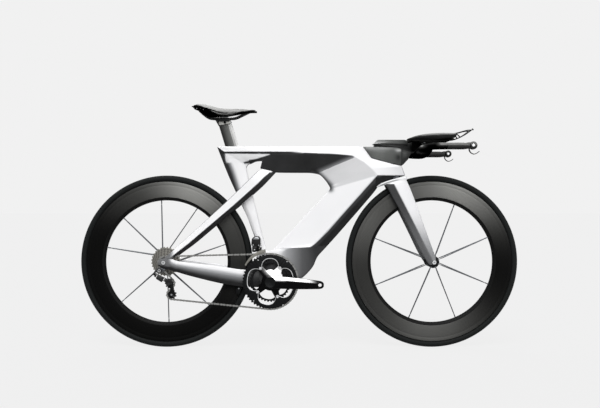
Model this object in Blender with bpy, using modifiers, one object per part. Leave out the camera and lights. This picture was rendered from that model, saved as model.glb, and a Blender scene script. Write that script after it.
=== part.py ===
# Time-trial racing bicycle, built from its separate pieces.
# Metres, +Z up, +X forward, drive side at -Y. The origin is on the floor, midway between the wheels.
# Outlines in the side view are (x, z) in millimetres, and MM turns them into metres.
import math

import bmesh
import bpy
from mathutils import Matrix, Vector

MM = 0.001
GAP = 0.4  # clearance between touching pieces, in mm

# Wheels
WHEEL_R = 336.0
REAR_HUB = (-520.0, 336.0)
FRONT_HUB = (518.0, 336.0)
TYRE_W = 25.0
RIM_OUTER_R = 311.0
RIM_INNER_R = 238.0
RIM_W = 26.0
FRONT_SPOKES = 8  # on each side
FRONT_OLD = 100.0  # between the fork ends
REAR_OLD = 130.0  # between the rear dropouts
WHEEL_STEPS = 44

# Drivetrain
BB = (-112.0, 261.0)
PITCH = 12.7  # chain pitch
OUTER_TEETH = 53
INNER_TEETH = 39
COG_TEETH = [11, 12, 13, 14, 15, 17, 19, 21, 23, 25, 28]
COG_STEP = 3.7
PULLEY_TEETH = 9
CHAIN_W = 5.4
OUTER_RING_Y = -47.5
INNER_RING_Y = -40.0
SMALL_COG_Y = -58.0
REAR_CHAIN_Y = -58.4  # a little outboard, clear of the second cog
CRANK_LENGTH = 191.0
CRANK_DROP = 3.3  # degrees below level
GUIDE_PULLEY = (-498.0, 255.0)
TENSION_PULLEY = (-490.5, 212.5)

# Steering axis: a point on it and its lean from the vertical
STEER_POINT = (359.5, 726.0)
STEER_LEAN = 16.0
STEERER_R = 14.3
BEARING_R = 19.0
COLLAR_R = 19.4

# Brake levers: pivot in the side view and distance from the middle plane
LEVER_PIVOT = (628.0, 772.0)
LEVER_Y = 220.0

# Seat
POST_TOP = (-291.3, 874.0)
POST_LEAN = 16.9
POST_CHORD = 51.0
POST_THICK = 21.0
POST_LENGTH = 172.0
POST_TRAVEL = 30.0  # up and down from the height shown

OBJECT = "time_trial_bicycle"


# Scene helpers

def clear_scene():
    for item in list(bpy.data.objects):
        bpy.data.objects.remove(item, do_unlink=True)


def new_collection(name):
    group = bpy.data.collections.new(name)
    bpy.context.scene.collection.children.link(group)
    return group


clear_scene()
PARTS = new_collection(OBJECT)


def finish(name, colour, roughness, metallic):
    mat = bpy.data.materials.new(name)
    mat.use_nodes = True
    shader = mat.node_tree.nodes["Principled BSDF"]
    shader.inputs["Base Color"].default_value = (*colour, 1.0)
    shader.inputs["Roughness"].default_value = roughness
    shader.inputs["Metallic"].default_value = metallic
    return mat


SILVER = finish("silver_paint", (0.62, 0.62, 0.63), 0.28, 0.6)
CARBON = finish("carbon_satin", (0.02, 0.02, 0.022), 0.35, 0.0)
GREY = finish("grey_carbon", (0.07, 0.07, 0.07), 0.35, 0.2)
RUBBER = finish("tyre_rubber", (0.015, 0.015, 0.016), 0.7, 0.0)
SOFT = finish("soft", (0.02, 0.02, 0.02), 0.8, 0.0)
STEEL = finish("steel", (0.5, 0.5, 0.5), 0.3, 1.0)
ALLOY = finish("bright_alloy", (0.7, 0.7, 0.7), 0.25, 1.0)
BLACK = finish("black_anodised", (0.02, 0.02, 0.02), 0.3, 0.7)


def add_mesh(name, verts, faces, mat):
    mesh = bpy.data.meshes.new(name)
    mesh.from_pydata([tuple(v) for v in verts], [], faces)
    return add_object(name, mesh, mat)


def add_object(name, mesh, mat):
    obj = bpy.data.objects.new(name, mesh)
    PARTS.objects.link(obj)
    mesh.materials.clear()
    mesh.materials.append(mat)
    face_out(mesh)
    return obj


def face_out(mesh):
    bm = bmesh.new()
    bm.from_mesh(mesh)
    bmesh.ops.recalc_face_normals(bm, faces=bm.faces)
    bm.to_mesh(mesh)
    bm.free()
    mesh.shade_smooth()
    mesh.set_sharp_from_angle(angle=math.radians(35))


# The evaluated mesh takes the place of the object's own, without its modifiers
def settle(obj):
    graph = bpy.context.evaluated_depsgraph_get()
    mesh = bpy.data.meshes.new_from_object(obj.evaluated_get(graph))
    bm = bmesh.new()
    bm.from_mesh(mesh)
    bmesh.ops.remove_doubles(bm, verts=bm.verts, dist=0.00001)
    bm.to_mesh(mesh)
    bm.free()
    name = obj.name
    mat = obj.active_material
    place = obj.matrix_world.copy()
    bpy.data.objects.remove(obj, do_unlink=True)
    solid = add_object(name, mesh, mat)
    solid.matrix_world = place
    bpy.context.view_layer.update()
    return solid


def boolean(obj, other, operation):
    bpy.context.view_layer.update()
    mod = obj.modifiers.new(operation.lower(), "BOOLEAN")
    mod.operation = operation
    mod.solver = "EXACT"
    mod.use_self = operation == "UNION"
    mod.object = other
    solid = settle(obj)
    bpy.data.objects.remove(other, do_unlink=True)
    return solid


def cut(obj, cutter):
    return boolean(obj, cutter, "DIFFERENCE")


def join(obj, other):
    return boolean(obj, other, "UNION")


# The object's origin moves to a world point while its shape stays where it is
def set_origin(obj, x, y, z):
    point = Vector((x, y, z)) * MM
    shift = obj.matrix_world.inverted() @ point
    obj.data.transform(Matrix.Translation(-shift))
    obj.matrix_world = obj.matrix_world @ Matrix.Translation(shift)


# Solids

# Rings of equal length are joined in order, and both ends are closed
def loft(name, rings, mat, split_caps=False):
    count = len(rings[0])
    verts = [Vector(p) * MM for ring in rings for p in ring]
    faces = []
    for i in range(len(rings) - 1):
        for j in range(count):
            k = (j + 1) % count
            faces.append((i * count + j, i * count + k, (i + 1) * count + k, (i + 1) * count + j))
    last = (len(rings) - 1) * count
    if split_caps:
        for base in (0, last):
            for j in range(count // 2 - 1):
                faces.append((base + j, base + j + 1, base + count - 2 - j, base + count - 1 - j))
    else:
        faces.append(tuple(range(count)))
        faces.append(tuple(range(last, last + count)))
    return add_mesh(name, verts, faces, mat)


# A tube on the bicycle's middle plane: each station lists (x, z, half width) from its top edge down
def middle_tube(name, stations, mat):
    rings = []
    for station in stations:
        left = [(x, half, z) for x, z, half in station]
        right = [(x, -half, z) for x, z, half in reversed(station)]
        rings.append(left + right)
    return loft(name, rings, mat, split_caps=True)


# A stay or blade beside the wheel: each station gives its upper and lower edge in the side view, its
# middle and half thickness across; side is -1 on the drive side
def side_blade(name, stations, side, mat, crease=0.45):
    rings = []
    for (ux, uz), (lx, lz), mid, half in stations:
        cx, cz = ux + (lx - ux) * crease, uz + (lz - uz) * crease
        edge = half * 0.5
        rings.append([
            (ux, side * (mid + edge), uz),
            (cx, side * (mid + half), cz),
            (lx, side * (mid + edge), lz),
            (lx, side * (mid - edge), lz),
            (cx, side * (mid - half), cz),
            (ux, side * (mid - edge), uz),
        ])
    return loft(name, rings, mat)


# A closed profile of (radius, across) points, turned about the crosswise axis through a centre
def turned(name, profile, centre, mat, steps=32):
    mesh = bpy.data.meshes.new(name)
    points = [(radius * MM, 0.0, across * MM) for radius, across in profile]
    closed = points[0][0] > 0 or points[-1][0] > 0
    edges = [(i, i + 1) for i in range(len(points) - 1)]
    if closed:
        edges.append((len(points) - 1, 0))
    mesh.from_pydata(points, edges, [])
    obj = bpy.data.objects.new(name, mesh)
    PARTS.objects.link(obj)
    mesh.materials.append(mat)
    mod = obj.modifiers.new("turn", "SCREW")
    mod.axis = "Z"
    mod.steps = steps
    mod.render_steps = steps
    mod.use_merge_vertices = True
    mod.merge_threshold = 0.00001
    # local Z lies along world +Y
    obj.rotation_euler = (-math.pi / 2, 0, 0)
    obj.location = (centre[0] * MM, 0.0, centre[1] * MM)
    bpy.context.view_layer.update()
    return settle(obj)


# A ring or disc between two crosswise planes
def drum(name, centre, radius, y0, y1, mat, bore=0.0, steps=32):
    if bore > 0:
        profile = [(bore, y0), (radius, y0), (radius, y1), (bore, y1)]
    else:
        profile = [(0, y0), (radius, y0), (radius, y1), (0, y1)]
    return turned(name, profile, centre, mat, steps)


# A cylinder from one point to another, in mm
def rod(name, start, end, radius, mat, sides=16):
    a, b = Vector(start) * MM, Vector(end) * MM
    mesh = bpy.data.meshes.new(name)
    bm = bmesh.new()
    bmesh.ops.create_cone(bm, cap_ends=True, segments=sides, radius1=radius * MM, radius2=radius * MM,
                          depth=(b - a).length)
    turn = (b - a).to_track_quat("Z", "Y").to_matrix().to_4x4()
    bmesh.ops.transform(bm, matrix=Matrix.Translation((a + b) / 2) @ turn, verts=bm.verts)
    bm.to_mesh(mesh)
    bm.free()
    return add_object(name, mesh, mat)


def block(name, low, high, mat, bevel=0.0):
    size = [(h - l) * MM for l, h in zip(low, high)]
    centre = Vector([(h + l) / 2 * MM for l, h in zip(low, high)])
    mesh = bpy.data.meshes.new(name)
    bm = bmesh.new()
    bmesh.ops.create_cube(bm, size=1.0)
    bmesh.ops.scale(bm, vec=size, verts=bm.verts)
    bmesh.ops.translate(bm, vec=centre, verts=bm.verts)
    bm.to_mesh(mesh)
    bm.free()
    obj = add_object(name, mesh, mat)
    if bevel:
        obj = round_edges(obj, bevel)
    return obj


def round_edges(obj, width):
    mod = obj.modifiers.new("round", "BEVEL")
    mod.width = width * MM
    mod.segments = 2
    mod.limit_method = "ANGLE"
    return settle(obj)


# A flat outline in the side view, with holes, between two crosswise planes
def plate(name, outline, y0, y1, mat, holes=()):
    curve = bpy.data.curves.new(name, "CURVE")
    curve.dimensions = "2D"
    curve.fill_mode = "BOTH"
    curve.extrude = abs(y1 - y0) / 2 * MM
    for loop in (outline, *holes):
        spline = curve.splines.new("POLY")
        spline.points.add(len(loop) - 1)
        for point, (x, z) in zip(spline.points, loop):
            point.co = (x * MM, z * MM, 0.0, 1.0)
        spline.use_cyclic_u = True
    obj = bpy.data.objects.new(name, curve)
    PARTS.objects.link(obj)
    curve.materials.append(mat)
    obj.rotation_euler = (math.pi / 2, 0, 0)
    obj.location = (0.0, (y0 + y1) / 2 * MM, 0.0)
    bpy.context.view_layer.update()
    return settle(obj)


def circle(centre, radius, count=20):
    return [(centre[0] + radius * math.cos(2 * math.pi * i / count),
             centre[1] + radius * math.sin(2 * math.pi * i / count)) for i in range(count)]


# A round tube along points in mm
def tube(name, points, radius, mat):
    curve = bpy.data.curves.new(name, "CURVE")
    curve.dimensions = "3D"
    curve.bevel_depth = radius * MM
    curve.bevel_resolution = 2
    curve.use_fill_caps = True
    spline = curve.splines.new("POLY")
    spline.points.add(len(points) - 1)
    for point, place in zip(spline.points, points):
        point.co = (*(Vector(place) * MM), 1.0)
    obj = bpy.data.objects.new(name, curve)
    PARTS.objects.link(obj)
    curve.materials.append(mat)
    bpy.context.view_layer.update()
    return settle(obj)


# Steering coordinates: forward of the axis, across, and up along it
def steer(forward, across, up):
    lean = math.radians(STEER_LEAN)
    x = STEER_POINT[0] + forward * math.cos(lean) - up * math.sin(lean)
    z = STEER_POINT[1] + forward * math.sin(lean) + up * math.cos(lean)
    return (x, across, z)


def steer_side(forward, up):
    x, _, z = steer(forward, 0, up)
    return (x, z)


# Pitch radius of a sprocket
def pitch_radius(teeth):
    return PITCH / 2 / math.sin(math.pi / teeth)


# Frame

def build_top_tube():
    stations = [
        [(-227, 785.5, 14), (-220, 763, 16), (-206, 713, 9)],
        [(-180, 786, 15), (-178, 763, 19), (-172, 728, 10)],
        [(-143, 786, 15), (-143, 762, 20), (-140, 731, 10)],
        [(-95, 786, 15), (-95, 761, 21), (-92, 683.5, 9)],
        [(0, 786, 15), (0, 760, 22), (0, 682.5, 9)],
        [(80, 786, 15), (75, 758.5, 23), (45, 682, 9)],
        [(149.6, 786, 16), (131.6, 757.5, 24), (79.6, 676.2, 10)],
    ]
    middle_tube("top_tube", stations, SILVER)


def build_head_tube():
    top = steer_side(-67.5, 35.5)
    front = steer_side(36.5, -24.0)
    low_front = steer_side(36.5, -68.0)
    low_rear = steer_side(-70.0, -68.0)
    stations = [
        [(150.4, 786, 16), (132.4, 757.5, 24), (80.4, 675.6, 10)],
        [(249.0, 784.5, 15), (209, 749, 24), (95, 661, 11)],
        [(top[0] - 1, top[1], 17), (253, 724, 25), (108, 645, 12)],
        [(front[0], front[1], 17), (282, 697, 26), (116, 632, 12)],
        [(low_front[0], low_front[1], 17), (301, 673, 26), (120, 624, 13)],
        [(low_rear[0], low_rear[1], 12), (297, 667.5, 26), (119.5, 617.5, 13)],
    ]
    head = middle_tube("head_tube", stations, SILVER)
    # the nose is round about the steering axis
    nose = ((45, 40), (45, 3), (36.1, 3), (35.4, 7), (33.8, 12), (30, 17.5), (24, 22), (18, 24.5), (18, 40))
    for side in (-1, 1):
        ends = [[steer(forward, side * across, up) for forward, across in nose] for up in (-90, 0)]
        head = cut(head, loft("corner", ends, SILVER))
    head = cut(head, axis_rod("bore", STEERER_R + GAP, -90, 60))
    head = cut(head, axis_rod("pocket", COLLAR_R + 0.6, -9.6, 60, 40))
    for low, high in ((-60.0, -90.0), (-17.0, 5.0)):
        head = cut(head, axis_rod("seat", BEARING_R + GAP, low, high))


# A cylinder on the steering axis
def axis_rod(name, radius, low, high, sides=32):
    return rod(name, steer(0, 0, low), steer(0, 0, high), radius, STEEL, sides)


def build_down_tube():
    low_rear = steer_side(-70.0, -68.0)
    stations = [
        [(low_rear[0] - 0.3, low_rear[1] - 0.5, 12), (296.5, 666.9, 26), (119.1, 616.9, 13)],
        [(305, 621, 10), (283, 652, 26.5), (112, 610, 13)],
        [(250, 556, 9), (228, 590, 27), (60, 555, 13)],
        [(190, 487, 9), (163, 517, 28), (5, 496, 13)],
        [(150, 441, 9), (110, 456, 30), (-50, 436, 14)],
        [(131, 420, 10), (60, 407.2, 32), (-107, 377, 16)],
    ]
    middle_tube("down_tube", stations, SILVER)


def build_bottom_bracket_shell():
    outline = [(-107, 376.4), (-40, 388.5), (60, 406.6), (130.5, 419.3), (98, 384), (69, 354), (54, 314),
               (15, 273), (-30, 246), (-75, 229), (-112, 224), (-150, 232), (-168, 250), (-168, 330),
               (-168, 373.2), (-128, 373.2)]
    middle = (-60, 320)
    rings = []
    for y, inset in ((-34, 0.10), (-26, 0.0), (26, 0.0), (34, 0.10)):
        rings.append([(x + (middle[0] - x) * inset, y, z + (middle[1] - z) * inset) for x, z in outline])
    shell = loft("bottom_bracket_shell", rings, SILVER)
    cut(shell, drum("bore", BB, 20.5 + GAP, -40, 40, STEEL))


def post_point(along, across=0.0):
    lean = math.radians(POST_LEAN)
    x = POST_TOP[0] + along * math.sin(lean) + across * math.cos(lean)
    z = POST_TOP[1] - along * math.cos(lean) + across * math.sin(lean)
    return x, z


# Streamlined section: share of the chord from the middle, and share of the thickness
POST_SECTION = ((-0.5, 0.3), (-0.42, 0.75), (-0.15, 1.0), (0.2, 1.0), (0.42, 0.75), (0.5, 0.3))


# The seatpost between two distances down its line, grown all round for its socket
def post_prism(name, start, end, grow, mat):
    rings = []
    for along in (start, end):
        left = []
        for share, width in POST_SECTION:
            x, z = post_point(along, share * (POST_CHORD + 2 * grow))
            left.append((x, POST_THICK / 2 * width + grow, z))
        rings.append(left + [(x, -y, z) for x, y, z in reversed(left)])
    return loft(name, rings, mat)


def build_seat_tube():
    # z, rear edge x, front edge x, half width
    sections = [(373.7, -167.5, -128.4, 13), (427, -174, -141, 13), (458, -186, -149, 13),
                (513, -205, -162.5, 13), (551, -225, -172, 13), (608, -250, -186, 13.2),
                (660, -274, -199, 13.4), (713, -296, -206.8, 13.6), (763, -315, -220.8, 14),
                (785, -323, -227.8, 14)]
    rings = []
    for z, rear, front, half in sections:
        chord = front - rear
        left = [(rear, 4.0, z), (rear + chord * 0.3, half, z), (rear + chord * 0.7, half, z), (front, 7.5, z)]
        rings.append(left + [(x, -y, height) for x, y, height in reversed(left)])
    seat_tube = loft("seat_tube", rings, SILVER)
    cut(seat_tube, post_prism("socket", 60, POST_LENGTH + POST_TRAVEL + 3, GAP, SILVER))


def build_stays(side, word):
    seatstay = [
        ((-126.3, 715.2), (-93.6, 683.1), 15.5, 8.0),
        ((-190, 656.5), (-150, 622), 21.5, 6.8),
        ((-280, 573), (-241, 546), 28.0, 6.5),
        ((-370, 489), (-345, 461), 40.0, 6.0),
        ((-439, 425), (-418, 400), 53.0, 5.0),
        ((-492, 376), (-472, 362), 64.5, 4.2),
        ((-516, 352.6), (-487, 352.6), 68.8, 3.5),
    ]
    side_blade(word + "_seatstay", seatstay, side, SILVER)
    chainstay = [
        ((-168.6, 306), (-168.6, 237), 26.5, 6.5),
        ((-221, 304), (-221, 238), 28.0, 6.5),
        ((-306, 319), (-306, 252), 36.0, 6.5),
        ((-422, 334), (-422, 283), 53.0, 6.0),
        ((-470, 341), (-470, 299), 63.0, 4.6),
        ((-486, 352), (-486, 305), 68.8, 3.5),
        ((-530, 352), (-530, 316), 68.8, 3.5),
        ((-541, 343), (-541, 325), 68.8, 3.5),
    ]
    stay = side_blade(word + "_chainstay", chainstay, side, SILVER)
    cut(stay, drum("hole", REAR_HUB, 6.0 + GAP, side * 60, side * 78, STEEL, steps=20))


def build_hanger():
    outline = [(-529, 315.2), (-512, 311.2), (-517, 302), (-526, 297), (-537, 296), (-546, 302),
               (-548, 311), (-540, 317)]
    plate("derailleur_hanger", outline, -71.5, -66.0, BLACK, [circle((-534, 306), 4.4, 14)])


def build_frame_bearings():
    drum("bottom_bracket", BB, 20.5, -37, 37, STEEL, bore=12.3, steps=28)
    for word, low, high in (("lower", -68.0, -60.4), ("upper", -16.6, -10.2)):
        ring = axis_rod(word + "_headset_bearing", BEARING_R, low, high)
        cut(ring, axis_rod("bore", STEERER_R + GAP / 2, low - 5, high + 5, 28))


def build_frame():
    build_top_tube()
    build_head_tube()
    build_down_tube()
    build_bottom_bracket_shell()
    build_seat_tube()
    for side, word in ((-1, "right"), (1, "left")):
        build_stays(side, word)
    build_hanger()
    build_frame_bearings()


# Seat

TILT_PIVOT_UP = 4.0  # height of the saddle's tilt axis above the post's top
TILT_BARREL_R = 12.0
RAIL_UP = 20.0  # height of the rails' middle above the post's top


def tilt_pivot():
    x, z = post_point(0)
    return x, z + TILT_PIVOT_UP


def build_seatpost():
    post = post_prism("seatpost", 0, POST_LENGTH, 0, GREY)
    post = cut(post, drum("cradle", tilt_pivot(), TILT_BARREL_R + GAP, -20, 20, GREY, steps=28))
    x, z = post_point(POST_LENGTH)
    set_origin(post, x, 0, z)


def build_saddle_clamp():
    x, z = post_point(0)
    clamp = block("saddle_clamp", (x - 20, -20, z + 8.5), (x + 20, 20, z + RAIL_UP - 1), ALLOY, bevel=1.5)
    clamp = join(clamp, drum("barrel", tilt_pivot(), TILT_BARREL_R, -10, 10, ALLOY, steps=28))
    for side in (-1, 1):
        height = z + RAIL_UP
        groove = rod("groove", (x - 40, side * 22, height), (x + 40, side * 22, height), 4.2, ALLOY, 12)
        clamp = cut(clamp, groove)
    px, pz = tilt_pivot()
    set_origin(clamp, px, 0, pz)


def build_rails():
    height = POST_TOP[1] + RAIL_UP
    points = []
    for side in (-1, 1):
        half = [(-388, 38, 921), (-380, 34, 914), (-366, 27, 903), (-349, 22, height), (-258, 22, height),
                (-238, 19, 901), (-220, 13, 909), (-202, 6, 915.5), (-198, 0, 916)]
        row = [(px, side * py, pz) for px, py, pz in half]
        points += row if side < 0 else list(reversed(row))[1:]
    tube("saddle_rails", points, 3.4, STEEL)


# x, half width, height of the middle line, drop of the edges, thickness of the edge
SADDLE_SECTIONS = [
    (-417, 40, 941, 5, 5), (-408, 58, 946, 8, 9), (-385, 68, 951, 12, 12), (-360, 69, 947, 14, 13),
    (-330, 60, 938, 13, 14), (-300, 42, 933, 10, 15), (-265, 27, 932, 8, 15), (-230, 21, 933, 7, 14),
    (-198, 20, 935, 6, 12), (-178, 19, 934.5, 6, 10), (-167, 12, 930, 4, 6),
]


def build_saddle():
    cover_rings = []
    base_rings = []
    for x, half, top, drop, depth in SADDLE_SECTIONS:
        upper = []
        lower = []
        for k in range(9):
            angle = math.pi * k / 8
            across = half * math.cos(angle)
            share = abs(math.cos(angle))
            # a shallow channel runs along the middle
            channel = 2.5 * max(0.0, 1 - abs(across) / 10) if -400 < x < -185 else 0.0
            upper.append((x, across, top - drop * share ** 2.2 - channel))
            lower.append((x, across * 0.97, top - drop * share ** 1.6 - depth * 0.55 - 2 * (1 - share)))
        cover_rings.append(upper + list(reversed(lower)))
        under = [(px, py * 0.99, pz - 2 * GAP) for px, py, pz in lower]
        shell = [(px, py * 0.96, pz - 2 * GAP - 3.0 - 2.0 * (1 - abs(py) / half)) for px, py, pz in lower]
        base_rings.append(under + list(reversed(shell)))
    loft("saddle_cover", cover_rings, SOFT)
    loft("saddle_base", base_rings, CARBON)


def build_seat():
    build_seatpost()
    build_saddle_clamp()
    build_rails()
    build_saddle()


# Fork and steering

def build_crown():
    shoulder = ((37, -69.4), (0, -69.0), (-36, -69.4), (-58, -72), (-68, -77))
    outline = [steer_side(forward, up) for forward, up in shoulder] + [(319, 622), (330, 626)]
    clearance = WHEEL_R + 7
    for x in (345, 366, 388, 411):
        outline.append((x, FRONT_HUB[1] + math.sqrt(clearance ** 2 - (FRONT_HUB[0] - x) ** 2)))
    crown = plate("fork_crown", outline, -23.5, 23.5, SILVER)
    for low, high in ((-26, -17), (17, 26)):
        crown = cut(crown, block("pocket", (331, low, 600), (364, high, 641), SILVER))
    steerer = axis_rod("steerer", STEERER_R, -72, 24.5)
    crown = join(crown, steerer)
    # the strip stands up in front of the head tube on a foot of its own
    strip = ((37, -9), (41, -6), (41, 6), (37, 9))
    foot = ((28, -9), (39, -6), (39, 6), (28, 9))
    for section, top in ((strip, -25.5), (foot, -70.2)):
        ends = [[steer(forward, y, up) for forward, y in section] for up in (-74, top)]
        crown = join(crown, loft("strip", ends, CARBON))
    set_origin(crown, *steer(0, 0, 0))


def build_blade(side, word):
    stations = [
        ((413, 665), (332, 629), 30.5, 6.5),
        ((431, 619), (357, 590), 33.5, 9.0),
        ((450, 568), (388, 538), 37.5, 9.5),
        ((487, 462), (433, 449), 45.5, 8.5),
        ((514, 385), (468, 377), 53.0, 6.5),
        ((527, 350), (486, 345), 55.0, 4.5),
        ((524, 328), (500, 325), 55.0, 4.5),
    ]
    rings = []
    for (fx, fz), (bx, bz), mid, half in stations:
        cx, cz = fx + (bx - fx) * 0.55, fz + (bz - fz) * 0.55
        rings.append([
            (fx, side * (mid + half * 0.35), fz),
            (cx, side * (mid + half), cz),
            (bx, side * (mid + half * 0.3), bz),
            (bx, side * (mid - half * 0.5), bz),
            (cx, side * (mid - half), cz),
            (fx, side * (mid - half * 0.5), fz),
        ])
    blade = loft(word + "_fork_blade", rings, SILVER)
    hole = drum("hole", FRONT_HUB, 6.0 + GAP, side * 44, side * 66, STEEL, steps=20)
    cut(blade, hole)


def build_stem():
    # (x, z) of the top and bottom edges, half width at the top and at the bottom
    stations = [
        ((252, 784.6), (284.5, 742.6), 6, 6), ((259, 784.6), (291, 741.2), 14, 13),
        ((290, 784.5), (318, 735.0), 18, 15), ((380, 782), (384, 721.0), 18.5, 4.5),
        ((392, 778), (394.5, 719.5), 18, 4.5), ((412, 771.5), (405, 713.0), 17, 6),
        ((437.5, 766), (425.5, 734.5), 16, 7),
    ]
    rings = []
    for (tx, tz), (bx, bz), wide, narrow in stations:
        left = []
        shape = ((0.0, wide * 0.8), (0.15, wide), (0.65, max(wide * 0.95, narrow)), (1.0, narrow))
        for share, half in shape:
            left.append((tx + (bx - tx) * share, half, tz + (bz - tz) * share))
        rings.append(left + [(x, -y, z) for x, y, z in reversed(left)])
    stem = loft("stem", rings, GREY)
    stem = cut(stem, axis_rod("relief", COLLAR_R + 0.8, -30, -9.4, 40))
    stem = join(stem, axis_rod("collar", COLLAR_R, -9.2, 14, 40))
    cut(stem, axis_rod("bore", STEERER_R + GAP, -20, 25))


def build_stem_cover():
    outline = [(285, 793), (303, 810), (416, 810), (423, 793)]
    rings = []
    for y, inset in ((-24, 0.06), (-20, 0.0), (20, 0.0), (24, 0.06)):
        rings.append([(x + (360 - x) * inset, y, z + (801 - z) * inset) for x, z in outline])
    cover = loft("stem_cover", rings, GREY)
    foot = block("foot", (320, -8, 784.9), (400, 8, 795), GREY)
    join(cover, foot)


# A flat streamlined bar swept through points, its section turned square to the path
def sweep_bar(name, points, sizes, mat):
    rings = []
    for i, place in enumerate(points):
        before, after = Vector(points[max(i - 1, 0)]), Vector(points[min(i + 1, len(points) - 1)])
        along = (after - before).normalized()
        across = Vector((0, 0, 1)).cross(along).normalized()
        up = along.cross(across)
        wide, tall = sizes[i]
        ring = []
        for k in range(10):
            angle = 2 * math.pi * k / 10
            offset = across * (wide * math.cos(angle)) + up * (tall * math.sin(angle))
            ring.append(Vector(place) + offset / 2)
        rings.append(ring)
    return loft(name, rings, mat)


def build_base_bar():
    # a point of the path, then the section's width and height there
    half = [((534.5, -220, 770), (24, 25)), ((505, -219, 770), (25, 25.5)), ((480, -213, 769.5), (32, 25.5)),
            ((464, -195, 767), (46, 25)), ((465, -150, 760), (60, 25)), ((470, -60, 754), (62, 27)),
            ((470.5, -18, 752), (62, 28))]
    path = half + [((x, -y, z), size) for (x, y, z), size in reversed(half)]
    sweep_bar("base_bar", [p for p, _ in path], [s for _, s in path], GREY)


def build_hood(side, word):
    points = [(535.1, 220, 770), (560, 220.5, 770), (590, 220.5, 770), (606, 220.2, 770), (614, 220, 770.5)]
    sizes = [(24, 25), (23, 25), (22, 25), (20, 22), (18, 15)]
    hood = sweep_bar(word + "_lever_hood", [(x, side * y, z) for x, y, z in points], sizes, SOFT)
    for y0, y1 in ((5.4, 9), (-9, -5.4)):
        cheek = drum("cheek", LEVER_PIVOT, 14.5, side * LEVER_Y + y0, side * LEVER_Y + y1, SOFT, steps=16)
        hood = join(hood, cheek)
    slot = drum("slot", LEVER_PIVOT, 15.2, side * LEVER_Y - 5.4, side * LEVER_Y + 5.4, SOFT, steps=16)
    hood = cut(hood, slot)
    mouth = block("mouth", (598, side * LEVER_Y - 5.6, 745), (640, side * LEVER_Y + 5.6, 769), SOFT)
    hood = cut(hood, mouth)
    join(hood, drum("pin", LEVER_PIVOT, 4.5, side * LEVER_Y - 9, side * LEVER_Y + 9, SOFT, steps=10))


def build_lever(side, word):
    y = side * LEVER_Y
    lever = drum(word + "_brake_lever", LEVER_PIVOT, 13.5, y - 5.0, y + 5.0, BLACK, bore=4.9, steps=16)
    outline = [(617, 766), (613, 757), (617, 748), (624, 741), (632, 738.5), (641, 742), (651, 749),
               (649, 752), (640, 745.5), (632, 742.5), (626, 744.5), (620, 751), (618, 757), (622, 763)]
    hook = plate("hook", outline, y - 5.0, y + 5.0, BLACK)
    lever = join(lever, hook)
    set_origin(lever, LEVER_PIVOT[0], y, LEVER_PIVOT[1])


def build_extension(side, word):
    # riser on the bar, cross arm to the pad and the grip that ends in an upturned loop
    inner, outer = 17, 31
    loop = [(438, 767.6), (505, 766.6), (545, 789), (588, 800), (625, 812), (652, 830), (671, 846),
            (668, 849), (645, 846), (606, 834), (560, 826), (500, 822), (438, 812)]
    hole = [(612, 829), (640, 836), (654, 838), (636, 824), (616, 817)]
    low, high = sorted((side * inner, side * outer))
    arm = plate(word + "_extension", loop, low, high, CARBON, [hole])
    low, high = sorted((side * (outer - 2), side * 96))
    join(arm, block("cross", (455, low, 793), (530, high, 801), CARBON))


def build_arm_pad(side, word):
    # x, bottom, top, half width
    sections = [(409, 803.5, 808, 10), (420, 802.5, 814, 26), (450, 802, 821, 36), (500, 802, 826, 38),
                (550, 804, 829, 35), (580, 808, 831, 27), (600, 815, 831, 12)]
    rings = []
    for x, low, high, half in sections:
        ring = []
        for k in range(9):
            angle = math.pi * k / 8
            dish = 3.5 * (1 - abs(math.cos(angle))) if half > 20 else 0
            share = 0.45 + 0.55 * math.sin(angle) ** 0.6
            ring.append((half * math.cos(angle), low + (high - low) * share - dish))
        edge = low + 0.2 * (high - low)
        ring += [(-half * 0.9, edge), (-half * 0.6, low), (half * 0.6, low), (half * 0.9, edge)]
        rings.append([(x, side * 70 + y, z) for y, z in ring])
    loft(word + "_arm_pad", rings, SOFT)


def build_button(side, word):
    y = side * 24
    button = rod(word + "_shift_button", (672.6, y, 849.0), (676.0, y, 852.2), 4.0, BLACK, 14)
    set_origin(button, 674.3, y, 850.6)


def build_front_brake(side, word):
    outline = [(338, 634), (350, 639), (358, 634), (366, 618), (384, 611), (381, 597), (360, 604),
               (346, 620)]
    low, high = sorted((side * 17.6, side * 22.0))
    arm = plate("front_brake_" + word + "_arm", outline, low, high, BLACK)
    low, high = sorted((side * 13.4, side * 18.5))
    pad = plate("pad", [(364, 612), (383, 609), (380, 599), (362, 602)], low, high, SOFT)
    arm = join(arm, pad)
    set_origin(arm, 346, side * 20, 634)


def build_steering():
    build_crown()
    build_stem()
    build_stem_cover()
    build_base_bar()
    for side, word in ((-1, "right"), (1, "left")):
        build_blade(side, word)
        build_hood(side, word)
        build_lever(side, word)
        build_extension(side, word)
        build_arm_pad(side, word)
        build_button(side, word)
        build_front_brake(side, word)


# Wheels

def build_tyre(name, hub):
    profile = [(RIM_OUTER_R + GAP, 8.5), (RIM_OUTER_R + GAP, -8.5)]
    radius = TYRE_W / 2
    for k in range(7):
        angle = math.radians(-117 + 39 * k)
        profile.append((WHEEL_R - radius + radius * math.cos(angle), radius * math.sin(angle)))
    turned(name, profile, hub, RUBBER, WHEEL_STEPS)


def build_rim(name, hub):
    half = [(RIM_OUTER_R, 12.2), (300, 12.6), (280, RIM_W / 2), (260, 11.4), (245, 7.2), (RIM_INNER_R, 2.0)]
    profile = half + [(r, -y) for r, y in reversed(half)]
    turned(name, profile, hub, CARBON, WHEEL_STEPS)


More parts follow.
